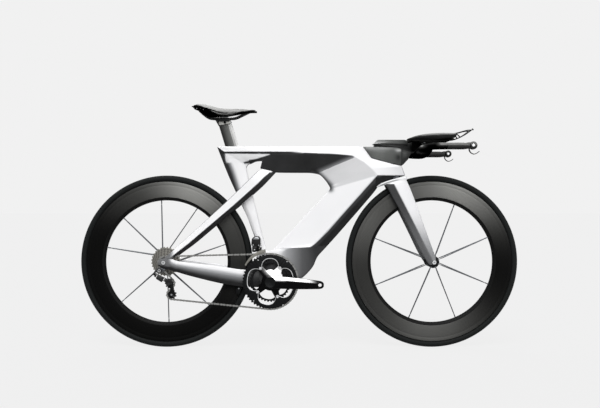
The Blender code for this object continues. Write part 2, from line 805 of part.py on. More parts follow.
# One bladed spoke between a flange and the rim, given by its rim angle and its offset at the hub
def spoke(centre, angle, offset, flange_y, rim_y, flange_r):
    rim_r = RIM_INNER_R - 1.2
    direction = Vector((math.cos(angle), math.sin(angle)))
    side = Vector((-direction.y, direction.x))
    outer = direction * rim_r
    inner = side * offset + direction * math.sqrt(max(flange_r ** 2 - offset ** 2, 1.0))
    along = (outer - inner).normalized()
    wide = Vector((-along.y, along.x)) * 1.3
    rings = []
    for point, y in ((inner, flange_y), (outer, rim_y)):
        corners = [(point + wide, y - 0.7), (point + wide, y + 0.7), (point - wide, y + 0.7),
                   (point - wide, y - 0.7)]
        rings.append([(centre[0] + p.x, yy, centre[1] + p.y) for p, yy in corners])
    return loft("spoke", rings, STEEL)


def add_spokes(hub_solid, centre, angles, offsets, flanges):
    for flange_y, flange_r in flanges:
        rim_y = 2.2 if flange_y > 0 else -2.2
        for angle, offset in zip(angles, offsets):
            blade = spoke(centre, math.radians(angle), offset, flange_y, rim_y, flange_r)
            hub_solid = join(hub_solid, blade)
    return hub_solid


FRONT_SPOKE_PHASE = 23.0
# Rim angle and offset at the hub of the rear spokes, in degrees and mm
REAR_SPOKE_PAIRS = [(16, -14), (60, 16), (95, 12), (135, -6), (167, -16), (222, 4), (272, 4), (314, -16)]


def build_front_wheel():
    build_tyre("front_tyre", FRONT_HUB)
    build_rim("front_rim", FRONT_HUB)
    half = FRONT_OLD / 2
    profile = [(6.4, -half + 1.5), (10.5, -half + 1.5), (10.5, -38), (24, -37), (24, -33), (13, -31),
               (11.5, 0), (13, 31), (24, 33), (24, 37), (10.5, 38), (10.5, half - 1.5), (6.4, half - 1.5)]
    hub = turned("front_hub", profile, FRONT_HUB, BLACK, 16)
    angles = [FRONT_SPOKE_PHASE + 360 / FRONT_SPOKES * k for k in range(FRONT_SPOKES)]
    hub = add_spokes(hub, FRONT_HUB, angles, [0.0] * FRONT_SPOKES, ((-35, 20), (35, 20)))
    set_origin(hub, FRONT_HUB[0], 0, FRONT_HUB[1])
    axle = drum("front_axle", FRONT_HUB, 6.0, -61, 61, ALLOY, steps=20)
    head = drum("head", FRONT_HUB, 8.0, -63.5, -60.9, ALLOY, steps=20)
    axle = join(axle, head)
    join(axle, drum("nut", FRONT_HUB, 8.0, 60.9, 63.5, ALLOY, steps=20))


def build_rear_wheel():
    build_tyre("rear_tyre", REAR_HUB)
    build_rim("rear_rim", REAR_HUB)
    half = REAR_OLD / 2
    profile = [(6.4, -half + 1.0), (15.5, -half + 1.0), (15.5, -19.2), (26, -18), (26, -14), (15, -12),
               (13, 0), (15, 31), (23, 33), (23, 37), (12, 39), (12, half - 1.0), (6.4, half - 1.0)]
    hub = turned("rear_hub", profile, REAR_HUB, BLACK, 16)
    angles = [angle for angle, _ in REAR_SPOKE_PAIRS]
    offsets = [offset for _, offset in REAR_SPOKE_PAIRS]
    hub = add_spokes(hub, REAR_HUB, angles, offsets, ((-16, 23), (35, 20)))
    set_origin(hub, REAR_HUB[0], 0, REAR_HUB[1])
    axle = drum("rear_axle", REAR_HUB, 6.0, -74, 74, ALLOY, steps=20)
    axle = join(axle, drum("head", REAR_HUB, 8.0, -76, -72.8, ALLOY, steps=20))
    join(axle, drum("nut", REAR_HUB, 8.0, 72.8, 76, ALLOY, steps=20))


def build_cassette():
    bore = 15.5 + GAP
    core = 18.2
    profile = [(bore, SMALL_COG_Y - 1.2), (core, SMALL_COG_Y - 1.2)]
    low = core
    for k, teeth in enumerate(COG_TEETH):
        y = SMALL_COG_Y + COG_STEP * k
        tip = pitch_radius(teeth) + 1.0
        profile += [(low, y - 0.7), (tip, y - 0.7), (tip, y + 0.7)]
        low = max(pitch_radius(teeth) - 5.0, core)
        profile.append((low, y + 0.7))
    last = SMALL_COG_Y + COG_STEP * (len(COG_TEETH) - 1) + 0.7
    profile.append((bore, last))
    cassette = turned("cassette", profile, REAR_HUB, STEEL, 24)
    set_origin(cassette, REAR_HUB[0], 0, REAR_HUB[1])


# Drivetrain

# A point about the bottom bracket, by its angle in degrees and its distance
def about_bb(angle, radius):
    a = math.radians(angle)
    return (BB[0] + radius * math.cos(a), BB[1] + radius * math.sin(a))


# Chainring outline: a root and a pointed tooth at each pitch step
def tooth_outline(teeth):
    radius = pitch_radius(teeth)
    step = 360 / teeth
    points = []
    for k in range(teeth):
        points += [about_bb(k * step, radius - 3.4), about_bb((k + 0.5) * step, radius + 1.0)]
    return points


ARM_ANGLES = (55.0, 127.0, 219.0, 295.0)  # spider arms, as they stand at the modelled crank angle
BOLT_R = 65.0


# The window between two spider arms, as an arc-sided outline
def ring_window(start, end, inner, outer):
    angles = [start + (end - start) * k / 6 for k in range(7)]
    return [about_bb(a, outer) for a in angles] + [about_bb(a, inner) for a in reversed(angles)]


def build_chainrings():
    windows = []
    for k, angle in enumerate(ARM_ANGLES):
        after = ARM_ANGLES[(k + 1) % 4] + (360 if k == 3 else 0)
        windows.append(ring_window(angle + 11, after - 11, BOLT_R + 6, 91))
    hole = circle(BB, BOLT_R - 6, 28)
    for name, teeth, y, half, holes in (
            ("outer_chainring", OUTER_TEETH, OUTER_RING_Y, 1.1, [hole] + windows),
            ("inner_chainring", INNER_TEETH, INNER_RING_Y, 1.5, [hole])):
        ring = plate(name, tooth_outline(teeth), y - half, y + half, BLACK, holes)
        set_origin(ring, BB[0], 0, BB[1])


# An arm from the spindle to the pedal eye; sign is its heading along X, side its side of the frame
def crank_arm(name, sign, side):
    drop = math.radians(CRANK_DROP)
    direction = Vector((sign * math.cos(drop), -sign * math.sin(drop)))
    across = Vector((-direction.y, direction.x))
    rings = []
    # distance from the spindle, half height, inner face and outer face
    stations = [(-24, 9, 60, 68), (-16, 19, 59.5, 71), (0, 23, 59.5, 73), (22, 24, 59.5, 73),
                (60, 23, 60.5, 73), (125, 20.5, 62, 74), (CRANK_LENGTH - 19, 17, 63, 75),
                (CRANK_LENGTH, 15.6, 63, 75), (CRANK_LENGTH + 10, 12.5, 63, 75),
                (CRANK_LENGTH + 15, 6, 64, 74)]
    for reach, half, near, far in stations:
        ring = []
        rim = far - 4
        for share, depth in ((1.0, near), (1.0, rim), (0.62, far), (-0.62, far), (-1.0, rim), (-1.0, near)):
            point = Vector(BB) + direction * reach + across * (half * share)
            ring.append((point.x, side * depth, point.y))
        rings.append(ring)
    arm = loft(name, rings, BLACK)
    eye = Vector(BB) + direction * CRANK_LENGTH
    return cut(arm, drum("eye", (eye.x, eye.y), 7.0, side * 55, side * 80, BLACK, steps=20))


def build_cranks():
    right = crank_arm("right_crank", 1, -1)
    hub = drum("hub", BB, 30, -59.6, -42.2, BLACK, steps=32)
    right = join(right, hub)
    right = join(right, drum("shoulder", BB, 15, -44, -37.4, STEEL, steps=24))
    right = join(right, drum("spindle", BB, 12.0, -44, 66, STEEL, steps=24))
    for angle in ARM_ANGLES:
        rings = []
        for reach, half in ((22, 17), (50, 12), (BOLT_R + 5, 9)):
            cx, cz = about_bb(angle, reach)
            a = math.radians(angle)
            sx, sz = -math.sin(a) * half, math.cos(a) * half
            rings.append([(cx + sx, -46.0, cz + sz), (cx + sx, -42.0, cz + sz), (cx - sx, -42.0, cz - sz),
                          (cx - sx, -46.0, cz - sz)])
        right = join(right, loft("arm", rings, BLACK))
    left = crank_arm("left_crank", -1, 1)
    left = join(left, drum("collar", BB, 17, 37.4, 61, BLACK, steps=24))
    left = cut(left, drum("bore", BB, 12.0 + GAP, 20, 66.4, BLACK, steps=24))
    for crank in (right, left):
        set_origin(crank, BB[0], 0, BB[1])


# Belt path over the wheels in order: (centre, radius, turn, across); turn is +1 for anticlockwise
def chain_wheels():
    return [
        (Vector(BB), pitch_radius(OUTER_TEETH), 1, OUTER_RING_Y),
        (Vector(REAR_HUB), pitch_radius(COG_TEETH[0]), 1, REAR_CHAIN_Y),
        (Vector(GUIDE_PULLEY), pitch_radius(PULLEY_TEETH), -1, REAR_CHAIN_Y),
        (Vector(TENSION_PULLEY), pitch_radius(PULLEY_TEETH), 1, REAR_CHAIN_Y),
    ]


# Points of the pitch line with their travel direction, round the closed loop
def chain_path():
    wheels = chain_wheels()
    headings = []
    for k, (centre, radius, turn, _) in enumerate(wheels):
        other, other_radius, other_turn, _ = wheels[(k + 1) % len(wheels)]
        run = other - centre
        base = math.atan2(run.y, run.x)
        headings.append(base + math.asin((turn * radius - other_turn * other_radius) / run.length))
    path = []
    for k, (centre, radius, turn, across) in enumerate(wheels):
        start, end = headings[k - 1], headings[k]
        sweep = (end - start) % (2 * math.pi) if turn > 0 else -((start - end) % (2 * math.pi))
        steps = max(3, round(abs(sweep) / math.radians(12 if radius > 50 else 26)))
        # the chain runs straight in line with a large wheel before it slants across
        lead = 34.0 if radius > 50 else 0.0
        for i in range(steps + 1):
            heading = start + sweep * i / steps
            right = Vector((math.sin(heading), -math.cos(heading)))
            point = centre + right * (turn * radius)
            ahead = Vector((math.cos(heading), math.sin(heading))) * lead
            if lead and i == 0:
                path.append((point - ahead, heading, across))
            path.append((point, heading, across))
            if lead and i == steps:
                path.append((point + ahead, heading, across))
    return path


def build_chain():
    half = CHAIN_W / 2
    wall = 0.8
    section = [(-3.5, -half), (3.5, -half), (3.5, half), (-3.5, half), (-3.5, half - wall),
               (2.3, half - wall), (2.3, -half + wall), (-3.5, -half + wall)]
    verts = []
    for point, heading, across in chain_path():
        right = Vector((math.sin(heading), -math.cos(heading)))
        for out, y in section:
            place = point + right * out
            verts.append(Vector((place.x, across + y, place.y)) * MM)
    count, rows = len(section), len(verts) // len(section)
    faces = []
    for i in range(rows):
        n = (i + 1) % rows
        for j in range(count):
            k = (j + 1) % count
            faces.append((i * count + j, i * count + k, n * count + k, n * count + j))
    add_mesh("chain", verts, faces, STEEL)


# Arc strip about the bottom bracket between two radii and two crosswise planes
def arc_strip(name, start, end, inner, outer, y0, y1, count):
    rings = []
    for k in range(count):
        angle = start + (end - start) * k / (count - 1)
        lx, lz = about_bb(angle, inner)
        hx, hz = about_bb(angle, outer)
        rings.append([(lx, y0, lz), (hx, y0, hz), (hx, y1, hz), (lx, y1, lz)])
    return loft(name, rings, STEEL)


def build_front_derailleur():
    block("front_derailleur_body", (-186, -32.0, 393.5), (-140, -14.5, 434), BLACK, bevel=4)
    cage = arc_strip("front_derailleur_cage", 99, 147, 112, 126, -55.8, -54.6, 9)
    cage = join(cage, arc_strip("inner", 99, 147, 112, 126, -43.6, -42.6, 9))
    cage = join(cage, arc_strip("roof", 99, 113, 123.5, 126, -55.7, -42.7, 4))
    cage = join(cage, arc_strip("tail", 144, 147, 112, 114.5, -55.7, -42.7, 2))
    link = block("link", (-162, -43.2, 384.5), (-146, -22, 392.6), STEEL)
    link = join(link, block("foot", (-160, -43.2, 371), (-148, -40, 390), STEEL))
    cage = join(cage, link)
    set_origin(cage, -154, -32, 388)


# Rear derailleur: its link turns at both ends about axes square to it
SWING_START = Vector((-549.0, -78.0, 289.0))
SWING_END = Vector((-512.0, -78.0, 270.5))
SWING_AXIS = Vector((0.427, 0.242, 0.871)).normalized()
HANGER_BOLT = (-534.0, 306.0)
CAGE_PIVOT = (-499.0, 262.0)


# A point by its distance along the link, its height along the swing axis and its depth across both
def swing_point(along, up, deep):
    run = (SWING_END - SWING_START).normalized()
    across = SWING_AXIS.cross(run)
    return tuple(SWING_START + run * along + SWING_AXIS * up + across * deep)


# An outline in the link's own plane, as (along, up) points, between two depths
def swing_plate(name, outline, deep):
    return loft(name, [[swing_point(a, u, d) for a, u in outline] for d in deep], BLACK)


def swing_block(name, along, up, deep):
    corners = [(along[0], up[0]), (along[1], up[0]), (along[1], up[1]), (along[0], up[1])]
    return swing_plate(name, corners, deep)


def swing_rod(name, along, low, high, radius, sides=12):
    return rod(name, swing_point(along, low, 0), swing_point(along, high, 0), radius, BLACK, sides)


def build_derailleur_mount():
    mount = drum("derailleur_mount", HANGER_BOLT, 9.5, -84, -72.0, BLACK, steps=20)
    mount = join(mount, drum("bolt", HANGER_BOLT, 4.0, -74, -65.2, BLACK, steps=14))
    bracket = [(-10, -4.2), (-5.4, -4.2), (-5.4, 10), (9, 10), (9, 22), (-10, 22)]
    mount = join(mount, swing_plate("bracket", bracket, (-6, 0.2)))
    mount = join(mount, swing_block("neck", (-7, -1), (-3.7, 3.7), (-3, 3)))
    mount = join(mount, swing_rod("knuckle", 0, -4, 4, 4.6))
    cut(mount, swing_rod("bore", 0, -6, 6, 2.3, 10))


def build_derailleur_link():
    length = (SWING_END - SWING_START).length
    link = swing_block("derailleur_link", (6.4, length - 6.4), (-7.4, 7.4), (-3.4, 3.4))
    for low, high in ((-7.1, -4.4), (4.4, 7.1)):
        for start, end in ((-3, 8), (length - 8, length + 3)):
            link = join(link, swing_block("cheek", (start, end), (low, high), (-3.2, 3.2)))
    for along in (0, length):
        link = join(link, swing_rod("pin", along, -6, 6, 1.9, 10))
    set_origin(link, *SWING_START)


def build_derailleur_body():
    length = (SWING_END - SWING_START).length
    body = drum("derailleur_body", CAGE_PIVOT, 9.5, -84, -66, BLACK, steps=20)
    body = join(body, swing_block("neck", (length + 1, length + 12), (-3.9, 3.9), (-3, 3)))
    body = join(body, swing_rod("knuckle", length, -4, 4, 4.6))
    body = cut(body, swing_rod("bore", length, -6, 6, 2.3, 10))
    body = join(body, drum("pin", CAGE_PIVOT, 4.0, -70, -62, BLACK, steps=14))
    set_origin(body, *SWING_END)


def build_derailleur_cage():
    outline = [(-507, 266), (-499, 271.5), (-490, 267), (-484, 250), (-479, 215), (-483, 203), (-494, 200),
               (-502, 207), (-505, 230), (-508, 250)]
    cage = plate("derailleur_cage", outline, -64.6, -63.2, BLACK, [circle(CAGE_PIVOT, 4.4, 14)])
    inner = [(-504, 261), (-491, 261), (-485, 250), (-480, 215), (-484, 204), (-494, 201), (-501, 208),
             (-505, 230)]
    cage = join(cage, plate("inner", inner, -52.8, -51.4, BLACK))
    for centre in (GUIDE_PULLEY, TENSION_PULLEY):
        cage = join(cage, drum("bolt", centre, 3.0, -64, -52, BLACK, steps=12))
    set_origin(cage, CAGE_PIVOT[0], -64, CAGE_PIVOT[1])


def build_pulleys():
    radius = pitch_radius(PULLEY_TEETH)
    for name, centre, tip in (("guide_pulley", GUIDE_PULLEY, radius - 4.4),
                              ("tension_pulley", TENSION_PULLEY, radius + 1.0)):
        pulley = drum(name, centre, tip, SMALL_COG_Y - 1.2, SMALL_COG_Y + 1.2, BLACK, bore=3.4, steps=20)
        set_origin(pulley, centre[0], SMALL_COG_Y, centre[1])


def build_rear_derailleur():
    build_derailleur_mount()
    build_derailleur_link()
    build_derailleur_body()
    build_derailleur_cage()
    build_pulleys()


def build_rear_brake(side, word):
    outline = [(-229, 236.6), (-239, 236.6), (-246, 230), (-247, 212), (-240, 208), (-232, 212),
               (-228, 226)]
    low, high = sorted((side * 19.0, side * 25.0))
    arm = plate("rear_brake_" + word + "_arm", outline, low, high, BLACK)
    low, high = sorted((side * 13.8, side * 20.0))
    arm = join(arm, plate("pad", [(-246, 226), (-234, 226), (-234, 211), (-246, 211)], low, high, SOFT))
    set_origin(arm, -236, side * 22, 234)


def build_drivetrain():
    build_cassette()
    build_chainrings()
    build_cranks()
    build_chain()
    build_front_derailleur()
    build_rear_derailleur()
    for side, word in ((-1, "right"), (1, "left")):
        build_rear_brake(side, word)


# Pieces that move together hang on an empty on their joint's axis, and stay where they are
def hang(name, x, z, pieces):
    empty = bpy.data.objects.new(name, None)
    empty.location = (x * MM, 0.0, z * MM)
    PARTS.objects.link(empty)
    bpy.context.view_layer.update()
    for piece in pieces:
        obj = bpy.data.objects[piece]
        obj.parent = empty
        obj.matrix_parent_inverse = empty.matrix_world.inverted()


def hang_moving_pieces():
    steering = ["fork_crown", "stem", "stem_cover", "base_bar", "front_axle"]
    for word in ("right", "left"):
        steering += [word + "_fork_blade", word + "_lever_hood", word + "_extension", word + "_arm_pad"]
    hang("steering_axis", *STEER_POINT, steering)
    hang("saddle_slide", *tilt_pivot(), ["saddle_rails", "saddle_base", "saddle_cover"])
    hang("front_wheel_axis", *FRONT_HUB, ["front_tyre", "front_rim", "front_hub"])
    hang("rear_wheel_axis", *REAR_HUB, ["rear_tyre", "rear_rim", "rear_hub"])
    hang("crank_axis", *BB, ["right_crank", "left_crank", "outer_chainring", "inner_chainring"])


# Each piece gets a material of its own, named for the piece and its finish
def own_materials():
    for obj in [obj for obj in PARTS.objects if obj.type == "MESH"]:
        own = obj.active_material.copy()
        own.name = obj.name + "_" + obj.active_material.name
        obj.data.materials[0] = own


def main():
    build_frame()
    build_seat()
    build_steering()
    build_front_wheel()
    build_rear_wheel()
    build_drivetrain()
    hang_moving_pieces()
    own_materials()


main()
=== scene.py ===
# Time-trial racing bicycle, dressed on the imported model. Lengths in the settings are millimetres.
import math

import bmesh
import bpy
import numpy as np
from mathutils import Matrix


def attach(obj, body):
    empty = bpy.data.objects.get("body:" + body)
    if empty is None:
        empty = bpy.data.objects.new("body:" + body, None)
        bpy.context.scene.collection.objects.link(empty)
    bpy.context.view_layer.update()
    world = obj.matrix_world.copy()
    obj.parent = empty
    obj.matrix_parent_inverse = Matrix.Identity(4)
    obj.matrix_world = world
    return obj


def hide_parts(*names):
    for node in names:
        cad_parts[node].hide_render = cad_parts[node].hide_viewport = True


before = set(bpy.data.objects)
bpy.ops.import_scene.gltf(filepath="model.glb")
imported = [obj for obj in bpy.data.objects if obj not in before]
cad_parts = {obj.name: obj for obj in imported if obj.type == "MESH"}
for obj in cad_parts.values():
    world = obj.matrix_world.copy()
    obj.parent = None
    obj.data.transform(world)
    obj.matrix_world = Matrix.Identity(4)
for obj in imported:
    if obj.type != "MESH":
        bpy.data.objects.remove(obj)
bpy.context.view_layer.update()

scene = bpy.context.scene
mm = 0.001
print("frame loaded", len(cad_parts), "nodes")


def linear(hexCode):  # sRGB hex turned to the linear colour that a shader takes
    value = np.array([int(hexCode[i:i + 2], 16) / 255 for i in (0, 2, 4)])
    value = np.where(value <= 0.04045, value / 12.92, ((value + 0.055) / 1.055) ** 2.4)
    return (float(value[0]), float(value[1]), float(value[2]), 1.0)


# adds one node: each input gets a number, a colour or another node's socket; one output comes back
def addNode(tree, kind, inputs=(), output=0, **settings):
    item = tree.nodes.new("ShaderNode" + kind)
    for key, value in settings.items():
        setattr(item, key, value)
    for key, value in (inputs.items() if isinstance(inputs, dict) else enumerate(inputs)):
        if isinstance(value, bpy.types.NodeSocket):
            tree.links.new(value, item.inputs[key])
        else:
            item.inputs[key].default_value = value
    return item.outputs[output]


# a material with its base colour and the plain values of its shader's sockets
def newMaterial(name, colour, values):
    material = bpy.data.materials.new(name)
    material.use_nodes = True
    tree = material.node_tree
    shader = tree.nodes["Principled BSDF"]
    shader.inputs["Base Color"].default_value = linear(colour)
    for socket, value in values.items():
        shader.inputs[socket].default_value = value
    return material, tree, shader


# noise or cells of that size in mm on the object's own coordinates
def pattern(tree, kind, size, output="Fac", **sockets):
    place = addNode(tree, "TexCoord", output="Object")
    return addNode(tree, "Tex" + kind, {"Vector": place, "Scale": 1 / (size * mm), **sockets}, output)


# the last links of a material: colour, roughness, and a height turned into bumps of that strength and depth
def dress(made, colour, rough=None, height=None, strength=0.1, depth=0.0002, invert=False):
    material, tree, shader = made
    tree.links.new(colour, shader.inputs["Base Color"])
    if rough:
        tree.links.new(rough, shader.inputs["Roughness"])
    if height:
        bump = addNode(tree, "Bump", {"Strength": strength, "Distance": depth, "Height": height}, invert=invert)
        tree.links.new(bump, shader.inputs["Normal"])
    return material


# rows x cols points in mm, each row a closed ring; its UV map is the distance along rows and columns, in metres
def grid(points, loopRows=False, capped=False, slot=0):
    points = np.asarray(points, float)
    rows, cols = points.shape[:2]
    stepRow = np.linalg.norm(np.roll(points, -1, 0) - points, axis=2).max(1)
    stepCol = np.linalg.norm(np.roll(points, -1, 1) - points, axis=2).max(0)
    alongRow = np.concatenate([[0], np.cumsum(stepRow)]) * mm
    alongCol = np.concatenate([[0], np.cumsum(stepCol)]) * mm
    r = np.arange(rows if loopRows else rows - 1)[:, None]
    c = np.arange(cols)[None, :]
    corners = [(r, c), (r, c + 1), (r + 1, c + 1), (r + 1, c)]
    quads = np.stack([(i % rows) * cols + j % cols for i, j in corners], -1).reshape(-1)
    spread = np.zeros((r.size, c.size))
    uv = np.stack([np.stack([alongRow[i] + spread, alongCol[j] + spread], -1) for i, j in corners],
                  2).reshape(-1, 2)
    sizes = np.full(r.size * c.size, 4)
    verts = points.reshape(-1, 3)
    if capped:
        for row, flip in ((0, 1), (rows - 1, -1)):
            middle = len(verts)
            verts = np.vstack([verts, points[row].mean(0)])
            ring = row * cols + np.arange(cols)
            fan = np.stack([ring, np.roll(ring, -1), np.full(cols, middle)], -1)[:, ::flip]
            quads = np.concatenate([quads, fan.reshape(-1)])
            flat = (verts[fan.reshape(-1)] - verts[middle]) * mm
            uv = np.vstack([uv, flat[:, [0, 2]]])
            sizes = np.concatenate([sizes, np.full(cols, 3)])
    return {"verts": verts, "loops": quads, "sizes": sizes, "uv": uv, "slots": np.full(len(sizes), slot)}


# shapes joined end to end: each one's corner numbers grow by the vertices before it
def together(shapes):
    offsets = np.cumsum([0] + [len(s["verts"]) for s in shapes])
    joined = {key: np.concatenate([s[key] for s in shapes]) for key in ("verts", "sizes", "uv", "slots")}
    joined["loops"] = np.concatenate([s["loops"] + o for s, o in zip(shapes, offsets)])
    return joined


# shapes in mm become one object in metres; edges sharper than that angle stay crisp
def meshFrom(name, shapes, materials, sharp=38):
    shape = together(shapes)
    mesh = bpy.data.meshes.new(name)
    mesh.vertices.add(len(shape["verts"]))
    mesh.vertices.foreach_set("co", (shape["verts"] * mm).astype(np.float32).ravel())
    mesh.loops.add(len(shape["loops"]))
    mesh.loops.foreach_set("vertex_index", shape["loops"].astype(np.int32))
    mesh.polygons.add(len(shape["sizes"]))
    starts = np.concatenate([[0], np.cumsum(shape["sizes"])[:-1]])
    mesh.polygons.foreach_set("loop_start", starts.astype(np.int32))
    mesh.polygons.foreach_set("material_index", shape["slots"].astype(np.int32))
    mesh.update(calc_edges=True)
    layer = mesh.uv_layers.new(name="lengthMap")
    layer.data.foreach_set("uv", shape["uv"].astype(np.float32).ravel())
    mesh.validate()
    for material in materials:
        mesh.materials.append(material)
    tidyNormals(mesh, sharp)
    return placed(name, mesh)


# faces turned outwards, shaded smooth except over edges sharper than that angle
def tidyNormals(mesh, sharp):
    shell = bmesh.new()
    shell.from_mesh(mesh)
    bmesh.ops.recalc_face_normals(shell, faces=shell.faces)
    shell.to_mesh(mesh)
    shell.free()
    mesh.shade_smooth()
    mesh.set_sharp_from_angle(angle=math.radians(sharp))


# the object stands for the nodes, whose parts are hidden, and rides on the body
def mount(obj, body, *nodes, finish=None):
    if nodes:
        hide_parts(*nodes)
    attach(obj, body)
    return obj


# the live modifiers of an object are worked into its mesh
def settle(obj, sharp=38):
    graph = bpy.context.evaluated_depsgraph_get()
    mesh = bpy.data.meshes.new_from_object(obj.evaluated_get(graph))
    obj.modifiers.clear()
    obj.data = mesh
    tidyNormals(mesh, sharp)
    return obj


# the cutter's space is taken from the object
def carve(obj, cutter, sharp=38):
    mod = obj.modifiers.new("carve", "BOOLEAN")
    mod.operation = "DIFFERENCE"
    mod.solver = "EXACT"
    mod.object = cutter
    settle(obj, sharp)
    bpy.data.objects.remove(cutter)
    return obj


# a round hole about a crosswise axis, from one depth to another
def bore(obj, centre, radius, y0, y1, steps=24, sharp=38):
    return carve(obj, meshFrom("bore", [drum(centre, [(radius, y0), (radius, y1)], steps)], []), sharp)


def parabola(start, corner, end, t):  # leaves start and reaches end heading along both legs of the corner
    return (1 - t) ** 2 * start + 2 * t * (1 - t) * corner + t ** 2 * end


# closed polygons [..., corners, 3]: each corner becomes a parabola that starts and ends radius mm away
def roundLoop(corners, radius, steps=5):
    corners = np.asarray(corners, float)
    radius = np.broadcast_to(np.asarray(radius, float), corners.shape[:-1])[..., None]
    legs = [np.roll(corners, way, axis=-2) - corners for way in (1, -1)]
    ends = [corners + leg * np.minimum(radius / (np.linalg.norm(leg, axis=-1, keepdims=True) + 1e-6), 0.49)
            for leg in legs]
    start, corner, end = [item[..., None, :] for item in (ends[0], corners, ends[1])]
    curve = parabola(start, corner, end, np.linspace(0, 1, steps)[:, None])
    return curve.reshape(*corners.shape[:-2], -1, corners.shape[-1])


# rows of stations [rows, ...]: each inner row is rounded by a parabola over share of its gaps
def softRows(stations, share=0.45, steps=4, closed=False):
    rows = np.asarray(stations, float)
    start, end = [rows + (np.roll(rows, way, 0) - rows) * share for way in (1, -1)]
    t = np.linspace(0, 1, steps).reshape(steps, *[1] * (rows.ndim - 1))
    made = [parabola(*ends, t) for ends in zip(start, rows, end)]
    if not closed:
        made[0], made[-1] = rows[:1], rows[-1:]
    return np.concatenate(made)


def ringPoints(centre, radius, across, steps):  # points on circles about the crosswise axis through centre
    a = np.linspace(0, 2 * np.pi, steps, endpoint=False)
    x, z = centre[0] + radius * np.cos(a), centre[1] + radius * np.sin(a)
    return np.stack([x, np.broadcast_to(across, x.shape), z], -1)


# a closed profile of (radius, across) turned about the crosswise axis through centre
def turned(profile, centre, steps=96, slot=0):
    profile = np.asarray(profile, float)
    points = ringPoints(centre, profile[:, :1], profile[:, 1:], steps).swapaxes(0, 1)
    return grid(points, loopRows=True, slot=slot)


# a solid of (radius, across) rings about the crosswise axis through centre, closed at both ends
def drum(centre, profile, steps=32, slot=0):
    profile = np.asarray(profile, float)
    return grid(ringPoints(centre, profile[:, :1], profile[:, 1:], steps), capped=True, slot=slot)


# a flat closed section of (side, up) carried along a path; scale gives each station its own size
def carried(path, section, scale=None, turnTo=(0, 0, 1), slot=0):
    path, section = np.asarray(path, float), np.asarray(section, float)
    scale = np.ones((len(path), 2)) if scale is None else np.asarray(scale, float).reshape(len(path), -1)
    ahead = np.gradient(path, axis=0)
    ahead /= np.linalg.norm(ahead, axis=1, keepdims=True)
    side = np.cross(np.asarray(turnTo, float), ahead)
    side /= np.linalg.norm(side, axis=1, keepdims=True)
    up = np.cross(ahead, side)
    points = (path[:, None] + side[:, None] * (section[:, 0] * scale[:, :1])[..., None]
              + up[:, None] * (section[:, 1] * scale[:, -1:])[..., None])
    return grid(points, capped=True, slot=slot)


def oval(width, height, count=16, power=2.0):  # superellipse of those full sizes
    a = np.linspace(0, 2 * np.pi, count, endpoint=False)
    return np.stack([width / 2 * np.sign(np.cos(a)) * np.abs(np.cos(a)) ** (2 / power),
                     height / 2 * np.sign(np.sin(a)) * np.abs(np.sin(a)) ** (2 / power)], -1)


# a flat outline (x, z) given thickness across, its rims softened by a smaller loop on each face
def slab(outline, y0, y1, soft=1.0, radius=2.0, steps=4, slot=0):
    loop = roundLoop(np.asarray(outline, float), radius, steps)
    middle = loop.mean(0)
    reach = np.linalg.norm(loop - middle, axis=1, keepdims=True)
    inner = middle + (loop - middle) * (1 - np.minimum(soft / reach, 0.4))
    low, high = min(y0, y1), max(y0, y1)
    s = min(soft, (high - low) * 0.45)
    rows = []
    for ring, y in ((inner, low), ((loop + inner) / 2, low + s * 0.3), (loop, low + s), (loop, high - s),
                    ((loop + inner) / 2, high - s * 0.3), (inner, high)):
        rows.append(np.stack([ring[:, 0], np.full(len(ring), y), ring[:, 1]], -1))
    return grid(rows, capped=True, slot=slot)


# camera, floor and light
view = {"middle": (2.3, 560.3), "distance": 2800.0, "lens": 42.8, "background": "f1f1f1",
        "ambient": (0.42, 0.42, 0.43, 1), "floorGlow": 0.93, "floorHalf": 40}

# a soft key from above the drive side, a fill from the front and a rim light from behind: turn, strength, spread
lamps = {"keyLamp": ((38, 0, -12), 2.0, 40), "fillLamp": ((72, 0, 24), 1.0, 60),
         "backLamp": ((-50, 0, 20), 0.6, 50)}


def seenRay(tree):  # 1 for rays that show the background itself, straight, in a reflection or through glass
    path = addNode(tree, "LightPath").node.outputs
    direct = addNode(tree, "Math", [path["Is Camera Ray"], path["Is Glossy Ray"]], operation="MAXIMUM")
    return addNode(tree, "Math", [direct, path["Is Transmission Ray"]], operation="MAXIMUM")


# an object of that data in the scene
def placed(name, data):
    obj = bpy.data.objects.new(name, data)
    scene.collection.objects.link(obj)
    return obj


